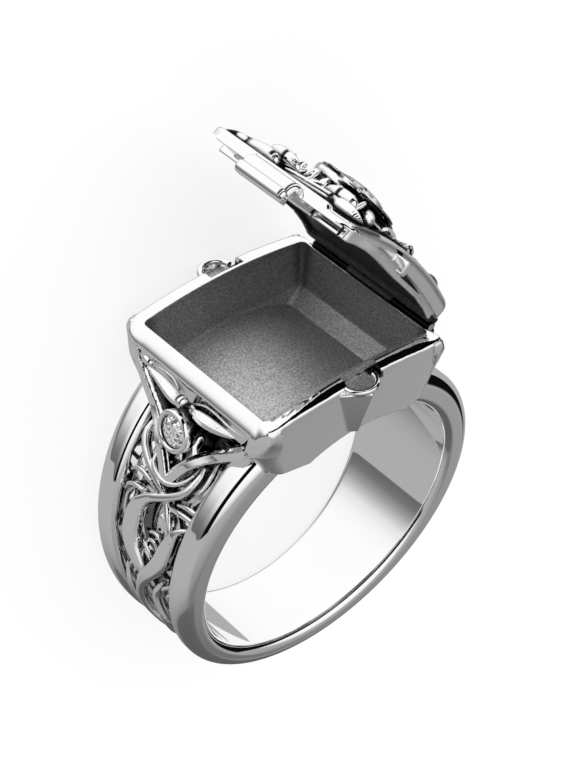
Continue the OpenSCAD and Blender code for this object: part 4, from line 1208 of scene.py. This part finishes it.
# painted shade as a dark streak on the sides of the border near the free edge
g2 = seg2(lx[:, 0], lx[:, 2], (-6.5, 14.0), (-4.1, 14.72)) - 0.13
lid_painted_shade = np.maximum(lid_painted_shade, 0.97 * (np.abs(lx[:, 1]) > 5.9) * (np.abs(lx[:, 1]) < 6.6) * smooth(-g2 + 0.03, 0.0, 0.07))
lmatte = (1 - (np.abs(lx[:, 0] + 1.85) < 0.33) * (lx[:, 2] > 13.78)) * smooth(np.abs(lx[:, 1]), 5.4, 5.65) * (np.abs(lx[:, 1]) < 6.62) * smooth(lx[:, 0], -6.4, -5.9)
piece("lid_shell", (lx, lf, lnn), "lid", "lid", ["lid"], "polished_silver_lid", turn="lid", attrs={"blast": blast, "painted_shade": lid_painted_shade, "matte": lmatte})
rl = sdf_mesh(relief_sdf, (-6.6, -7.0, 13.9), (6.0, 7.0, 17.4), 0.095 * H)
rx, ry, rz = rl[0].T
rt = rz - lid_top(rx)
rr0 = np.hypot(rx, ry - 0.1)
# painted shade on the relief: darker toward the plate, in the rose's grooves, beside the tall leaves, at the far leaf
# end, in the wreath's gaps and under it
dd = smooth(0.46 + 0.34 * smooth(-rx, -0.6, 0.6) - rt, 0.0, 0.22)
ra_ = np.arctan2(ry - 0.1, rx)
rg_ = np.minimum(np.abs(np.sin(4 * ra_)) * rr0 / 4, np.abs(rr0 - 0.62))
dd = np.maximum(dd, smooth(0.10 - rg_, 0.0, 0.05) * (rr0 > 0.5) * (rr0 < 1.8) * (rz > 16.3))
dd = np.maximum(dd, smooth(0.05 - np.abs(np.abs(ry) - 2.42), -0.12, -0.06) * (rx < -3.9) * (rz > 14.7) * (rz < 15.62))
dd = np.maximum(dd, smooth(ry, 4.1, 4.5) * (rx < -4.8) * smooth(rz, 14.30, 14.42))
# a small patch is kept bright here: a painted highlight
dd = dd * (1 - smooth(0.22 - np.hypot((ry - 5.0) * 0.45, rz - 14.62), 0.0, 0.06) * (rx < -4.8))
dd = np.maximum(dd, smooth(0.42 - np.hypot((ry + 2.75) * 0.8, rz - 14.45), 0.0, 0.10) * (rx < -4.8) * (ry < -2.2))
dd = np.maximum(dd, smooth(0.24 - np.hypot(rr0 - 2.99, rz - 16.14 - 0.055 * ry), 0.0, 0.05) * smooth(-ry, 0.3, 0.9))
dd = np.maximum(dd, smooth(2.35 - rr0, 0.0, 0.1) * smooth(15.95 - rz, 0.0, 0.12))
dd = np.maximum(dd, smooth(0.30 - np.hypot(rx + 0.25, rz - 15.36), 0.0, 0.06) * (np.abs(ry) > 5.2))
for g_, w_ in ((68, 0.11), (38, 0.16), (-34, 0.15)):
    gd = np.hypot(rr0 - 2.42 - 0.59 * math.cos(math.radians(g_)), rz - 16.12 - 0.055 * (ry - 0.1) - 0.59 * math.sin(math.radians(g_)))
    dd = np.maximum(dd, smooth(w_ - gd, 0.0, 0.04) * smooth(np.sin(3.0 * np.arctan2(ry, rx) + g_) + 0.75, 0.0, 0.15))
rd = {"painted_shade": np.clip(dd, 0, 1)}
piece("lid_relief", rl, "relief", "lid", ["lid_ornament"], "silver_relief", turn="lid", attrs=rd)
ct = sdf_mesh(catch_sdf, (-8.6, -2.6, 11.9), (-6.9, 2.6, 14.3), 0.06 * H)
# painted shade as dark lines along the catch's creases and groove
cd = smooth(0.085 - np.abs(-ct[0][:, 1] - 1.80), 0.0, 0.03) * (ct[0][:, 2] > 12.75)
cd = np.maximum(cd, 0.9 * smooth(0.09 - np.hypot(ct[0][:, 0] + 8.14, ct[0][:, 2] - 12.66), 0.0, 0.04))
cd = np.maximum(cd, 0.8 * smooth(0.10 - np.hypot(ct[0][:, 0] + 8.02, ct[0][:, 2] - 13.17), 0.0, 0.04))
piece("catch_bar", ct, "bezel", "lid", ["catch"], "polished_silver_lid", turn="lid", attrs={"painted_shade": cd})


# stones
def brilliant():
    """Clear stone: painted bright and dark facet reflections in a metallic base colour with a painted glow, mixed with
    a clear transmissive layer.
    """
    m, nt = new_mat("clear_stone")
    L = nt.links
    out = N(nt, "ShaderNodeOutputMaterial")
    tc = N(nt, "ShaderNodeTexCoord")
    vo = N(nt, "ShaderNodeTexVoronoi"); vo.inputs["Scale"].default_value = 6200.0
    L.new(tc.outputs["Object"], vo.inputs["Vector"])
    sb = N(nt, "ShaderNodeVectorMath", operation="SUBTRACT")
    L.new(vo.outputs["Color"], sb.inputs[0]); sb.inputs[1].default_value = (0.5, 0.5, 0.5)
    sc_ = N(nt, "ShaderNodeVectorMath", operation="SCALE")
    L.new(sb.outputs[0], sc_.inputs[0]); sc_.inputs["Scale"].default_value = 0.75
    ge = N(nt, "ShaderNodeNewGeometry")
    ad = N(nt, "ShaderNodeVectorMath", operation="ADD")
    L.new(ge.outputs["Normal"], ad.inputs[0]); L.new(sc_.outputs[0], ad.inputs[1])
    nm = N(nt, "ShaderNodeVectorMath", operation="NORMALIZE")
    L.new(ad.outputs[0], nm.inputs[0])
    # painted facet reflections: a Voronoi pattern of dark and bright base colour
    cr = N(nt, "ShaderNodeValToRGB")
    cr.color_ramp.elements[0].position = 0.10; cr.color_ramp.elements[0].color = (0.10, 0.10, 0.11, 1)
    cr.color_ramp.elements[1].position = 0.42; cr.color_ramp.elements[1].color = (0.97, 0.98, 1.0, 1)
    se = N(nt, "ShaderNodeSeparateXYZ")
    L.new(vo.outputs["Color"], se.inputs[0]); L.new(se.outputs[0], cr.inputs["Fac"])
    inner = N(nt, "ShaderNodeBsdfPrincipled")
    inner.inputs["Metallic"].default_value = 1.0
    inner.inputs["Roughness"].default_value = 0.08
    L.new(cr.outputs["Color"], inner.inputs["Base Color"]); L.new(nm.outputs[0], inner.inputs["Normal"])
    # painted glow: the facet pattern is also emitted
    L.new(cr.outputs["Color"], inner.inputs["Emission Color"]); inner.inputs["Emission Strength"].default_value = 0.22
    coat = N(nt, "ShaderNodeBsdfPrincipled")
    coat.inputs["Base Color"].default_value = (1, 1, 1, 1)
    coat.inputs["Roughness"].default_value = 0.0
    coat.inputs["IOR"].default_value = 2.2
    coat.inputs["Transmission Weight"].default_value = 1.0
    mx = N(nt, "ShaderNodeMixShader"); mx.inputs["Fac"].default_value = 0.2
    L.new(inner.outputs[0], mx.inputs[1]); L.new(coat.outputs[0], mx.inputs[2])
    L.new(mx.outputs[0], out.inputs[0])
    return m


MATS["stone"] = brilliant()
SP, SF = make_stone()
for sx, nm in ((1, "left"), (-1, "right")):
    P = SP * np.array([sx, 1, 1.0])
    me = bpy.data.meshes.new("brilliant_" + nm)
    fs = [f if sx == 1 else f[::-1] for f in SF]
    me.from_pydata([tuple(p) for p in lay(P)], [], fs)
    me.update()
    import bmesh
    bm = bmesh.new(); bm.from_mesh(me)
    bmesh.ops.recalc_face_normals(bm, faces=bm.faces)
    bm.to_mesh(me); bm.free()
    ob = bpy.data.objects.new("brilliant_" + nm, me)
    bpy.context.scene.collection.objects.link(ob)
    me.materials.append(MATS["stone"])
    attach(ob, "ring"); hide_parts("stone_" + nm)

# the CAD pin shows between the knuckles
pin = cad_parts["hinge_pin"]
pin.data.materials.clear()
pin.data.materials.append(silver("steel_pin", tone=0.6, rough=0.2, bump=0.05))

# ------------------------------------------------------------------ camera
AZ, EL, RO, DIST, FPX, TX, TY = 39.847, 41.181, 0.072, 150.0, 15.518 * 150.0, 0.172, 6.855
a, e, r = math.radians(AZ), math.radians(EL), math.radians(RO)
back = np.array([-math.sin(a) * math.cos(e), -math.cos(a) * math.cos(e), math.sin(e)])
fwd = -back
right = np.cross(fwd, [0, 0, 1]); right /= np.linalg.norm(right)
up = np.cross(right, fwd)
r2 = math.cos(r) * right + math.sin(r) * up
u2 = -math.sin(r) * right + math.cos(r) * up
pos = back * DIST + r2 * TX + u2 * TY
from mathutils import Matrix, Vector
cam_data = bpy.data.cameras.new("camera")
cam_data.sensor_fit = "HORIZONTAL"
cam_data.sensor_width = 36.0
cam_data.lens = FPX * 36.0 / 576.0
cam_data.clip_start = 0.005
cam_data.clip_end = 10.0
cam = bpy.data.objects.new("camera", cam_data)
bpy.context.scene.collection.objects.link(cam)
R3 = np.stack([lay_dir(r2), lay_dir(u2), lay_dir(-fwd)], 1)
m4 = Matrix.Identity(4)
for i in range(3):
    for j in range(3):
        m4[i][j] = R3[i, j]
    m4[i][3] = lay(pos)[i]
cam.matrix_world = m4
bpy.context.scene.camera = cam

# ------------------------------------------------------------------ floor
bpy.ops.mesh.primitive_plane_add(size=3.0, location=(0, 0, 0))
floor = bpy.context.active_object
floor.name = "floor"
m, nt = new_mat("pale_floor")
out = N(nt, "ShaderNodeOutputMaterial")
bs = N(nt, "ShaderNodeBsdfPrincipled")
bs.inputs["Roughness"].default_value = 0.9
bs.inputs["Specular IOR Level"].default_value = 0.0
bs.inputs["Emission Color"].default_value = (1, 1, 1, 1)
bs.inputs["Emission Strength"].default_value = 0.76
n1 = N(nt, "ShaderNodeTexNoise"); n1.inputs["Scale"].default_value = 3.0
col = N(nt, "ShaderNodeMix", data_type="RGBA")
col.inputs["A"].default_value = (0.262, 0.262, 0.262, 1)
col.inputs["B"].default_value = (0.268, 0.268, 0.268, 1)
nt.links.new(n1.outputs["Fac"], col.inputs["Factor"])
nt.links.new(col.outputs["Result"], bs.inputs["Base Color"])
nt.links.new(bs.outputs[0], out.inputs[0])
floor.data.materials.append(m)
floor.visible_glossy = False

# ------------------------------------------------------------------ light: a soft studio round the ring
world = bpy.data.worlds.new("studio")
bpy.context.scene.world = world
world.use_nodes = True
nt = world.node_tree
for n in list(nt.nodes):
    nt.nodes.remove(n)
L = nt.links
wo = N(nt, "ShaderNodeOutputWorld")
tc = N(nt, "ShaderNodeTexCoord")


def axis(v):
    d = N(nt, "ShaderNodeVectorMath", operation="DOT_PRODUCT")
    L.new(tc.outputs["Generated"], d.inputs[0])
    d.inputs[1].default_value = tuple(lay_dir(v))
    return d.outputs["Value"]


def ramp(src, lo, hi, stops, interp="LINEAR"):
    mr = N(nt, "ShaderNodeMapRange")
    mr.inputs["From Min"].default_value = lo
    mr.inputs["From Max"].default_value = hi
    L.new(src, mr.inputs["Value"])
    cr = N(nt, "ShaderNodeValToRGB")
    cr.color_ramp.interpolation = interp
    els = cr.color_ramp.elements
    while len(els) > 1:
        els.remove(els[-1])
    first = True
    for p, v in stops:
        t = (p - lo) / (hi - lo)
        s = v / 255.0
        lin = (s / 12.92 if s <= 0.04045 else ((s + 0.055) / 1.055) ** 2.4) / 0.93
        if first:
            els[0].position = t; els[0].color = (lin, lin, lin, 1); first = False
        else:
            el = els.new(min(max(t, 0), 1)); el.color = (lin, lin, lin, 1)
    L.new(mr.outputs[0], cr.inputs["Fac"])
    return cr.outputs["Color"]


def mixc(f, a, b):
    mx = N(nt, "ShaderNodeMix", data_type="RGBA")
    L.new(f, mx.inputs["Factor"])
    L.new(a, mx.inputs["A"]); L.new(b, mx.inputs["B"])
    return mx.outputs["Result"]


def step(src, lo, hi):
    mr = N(nt, "ShaderNodeMapRange", interpolation_type="SMOOTHSTEP")
    mr.inputs["From Min"].default_value = lo
    mr.inputs["From Max"].default_value = hi
    L.new(src, mr.inputs["Value"])
    return mr.outputs[0]


ex, ey, ez = axis((1, 0, 0)), axis((0, 1, 0)), axis((0, 0, 1))
ground = ramp(ez, -1.0, 0.0, [(-1.0, 90), (-0.88, 96), (-0.856, 100), (-0.849, 119), (-0.843, 129), (-0.83, 134), (-0.80, 145), (-0.73, 160), (-0.62, 169), (-0.45, 172), (0.0, 172)])
ground_w = ramp(ez, -1.0, 0.0, [(-1.0, 90), (-0.80, 120), (-0.70, 144), (-0.60, 150), (-0.3, 165), (0.0, 172)])
sky_l = ramp(ez, 0.0, 1.0, [(0.0, 104), (0.02, 109), (0.08, 116), (0.20, 157), (0.31, 203), (0.37, 227), (0.50, 245), (0.66, 252), (1.0, 253)])
sky_r = ramp(ez, 0.0, 1.0, [(0.0, 247), (0.3, 251), (1.0, 254)])
sky_a = mixc(step(ex, -0.35, 0.15), sky_l, sky_r)
sky_b = ramp(ez, 0.0, 1.0, [(0.0, 205), (0.2, 240), (0.45, 252), (1.0, 252)])
gap = ramp(ez, 0.0, 1.0, [(0.0, 12), (1.0, 5)])
sky = mixc(step(ey, -0.475, -0.445), sky_b, gap)
sky = mixc(step(ey, -0.055, -0.025), sky, sky_a)
low = mixc(step(ey, -0.60, -0.42), ground_w, ground)
low = mixc(step(ex, 0.62, 0.72), low, mixc(step(ey, -0.055, -0.025), mixc(step(ey, -0.475, -0.445), low, gap), low))
env = mixc(step(ez, -0.054, -0.046), low, sky)
bg_env = N(nt, "ShaderNodeBackground"); L.new(env, bg_env.inputs["Color"])
bg_soft = N(nt, "ShaderNodeBackground")
bg_soft.inputs["Color"].default_value = (1, 1, 1, 1); bg_soft.inputs["Strength"].default_value = 1.04
lp = N(nt, "ShaderNodeLightPath")
mx1 = N(nt, "ShaderNodeMixShader")
mxv = N(nt, "ShaderNodeMath", operation="MAXIMUM")
L.new(lp.outputs["Is Camera Ray"], mxv.inputs[0]); L.new(lp.outputs["Is Diffuse Ray"], mxv.inputs[1])
L.new(mxv.outputs[0], mx1.inputs["Fac"])
L.new(bg_env.outputs[0], mx1.inputs[1]); L.new(bg_soft.outputs[0], mx1.inputs[2])
L.new(mx1.outputs[0], wo.inputs["Surface"])

sc = bpy.context.scene
sc.view_settings.view_transform = "Standard"
sc.view_settings.look = "None"
sc.view_settings.exposure = 0.0
sc.view_settings.gamma = 1.0
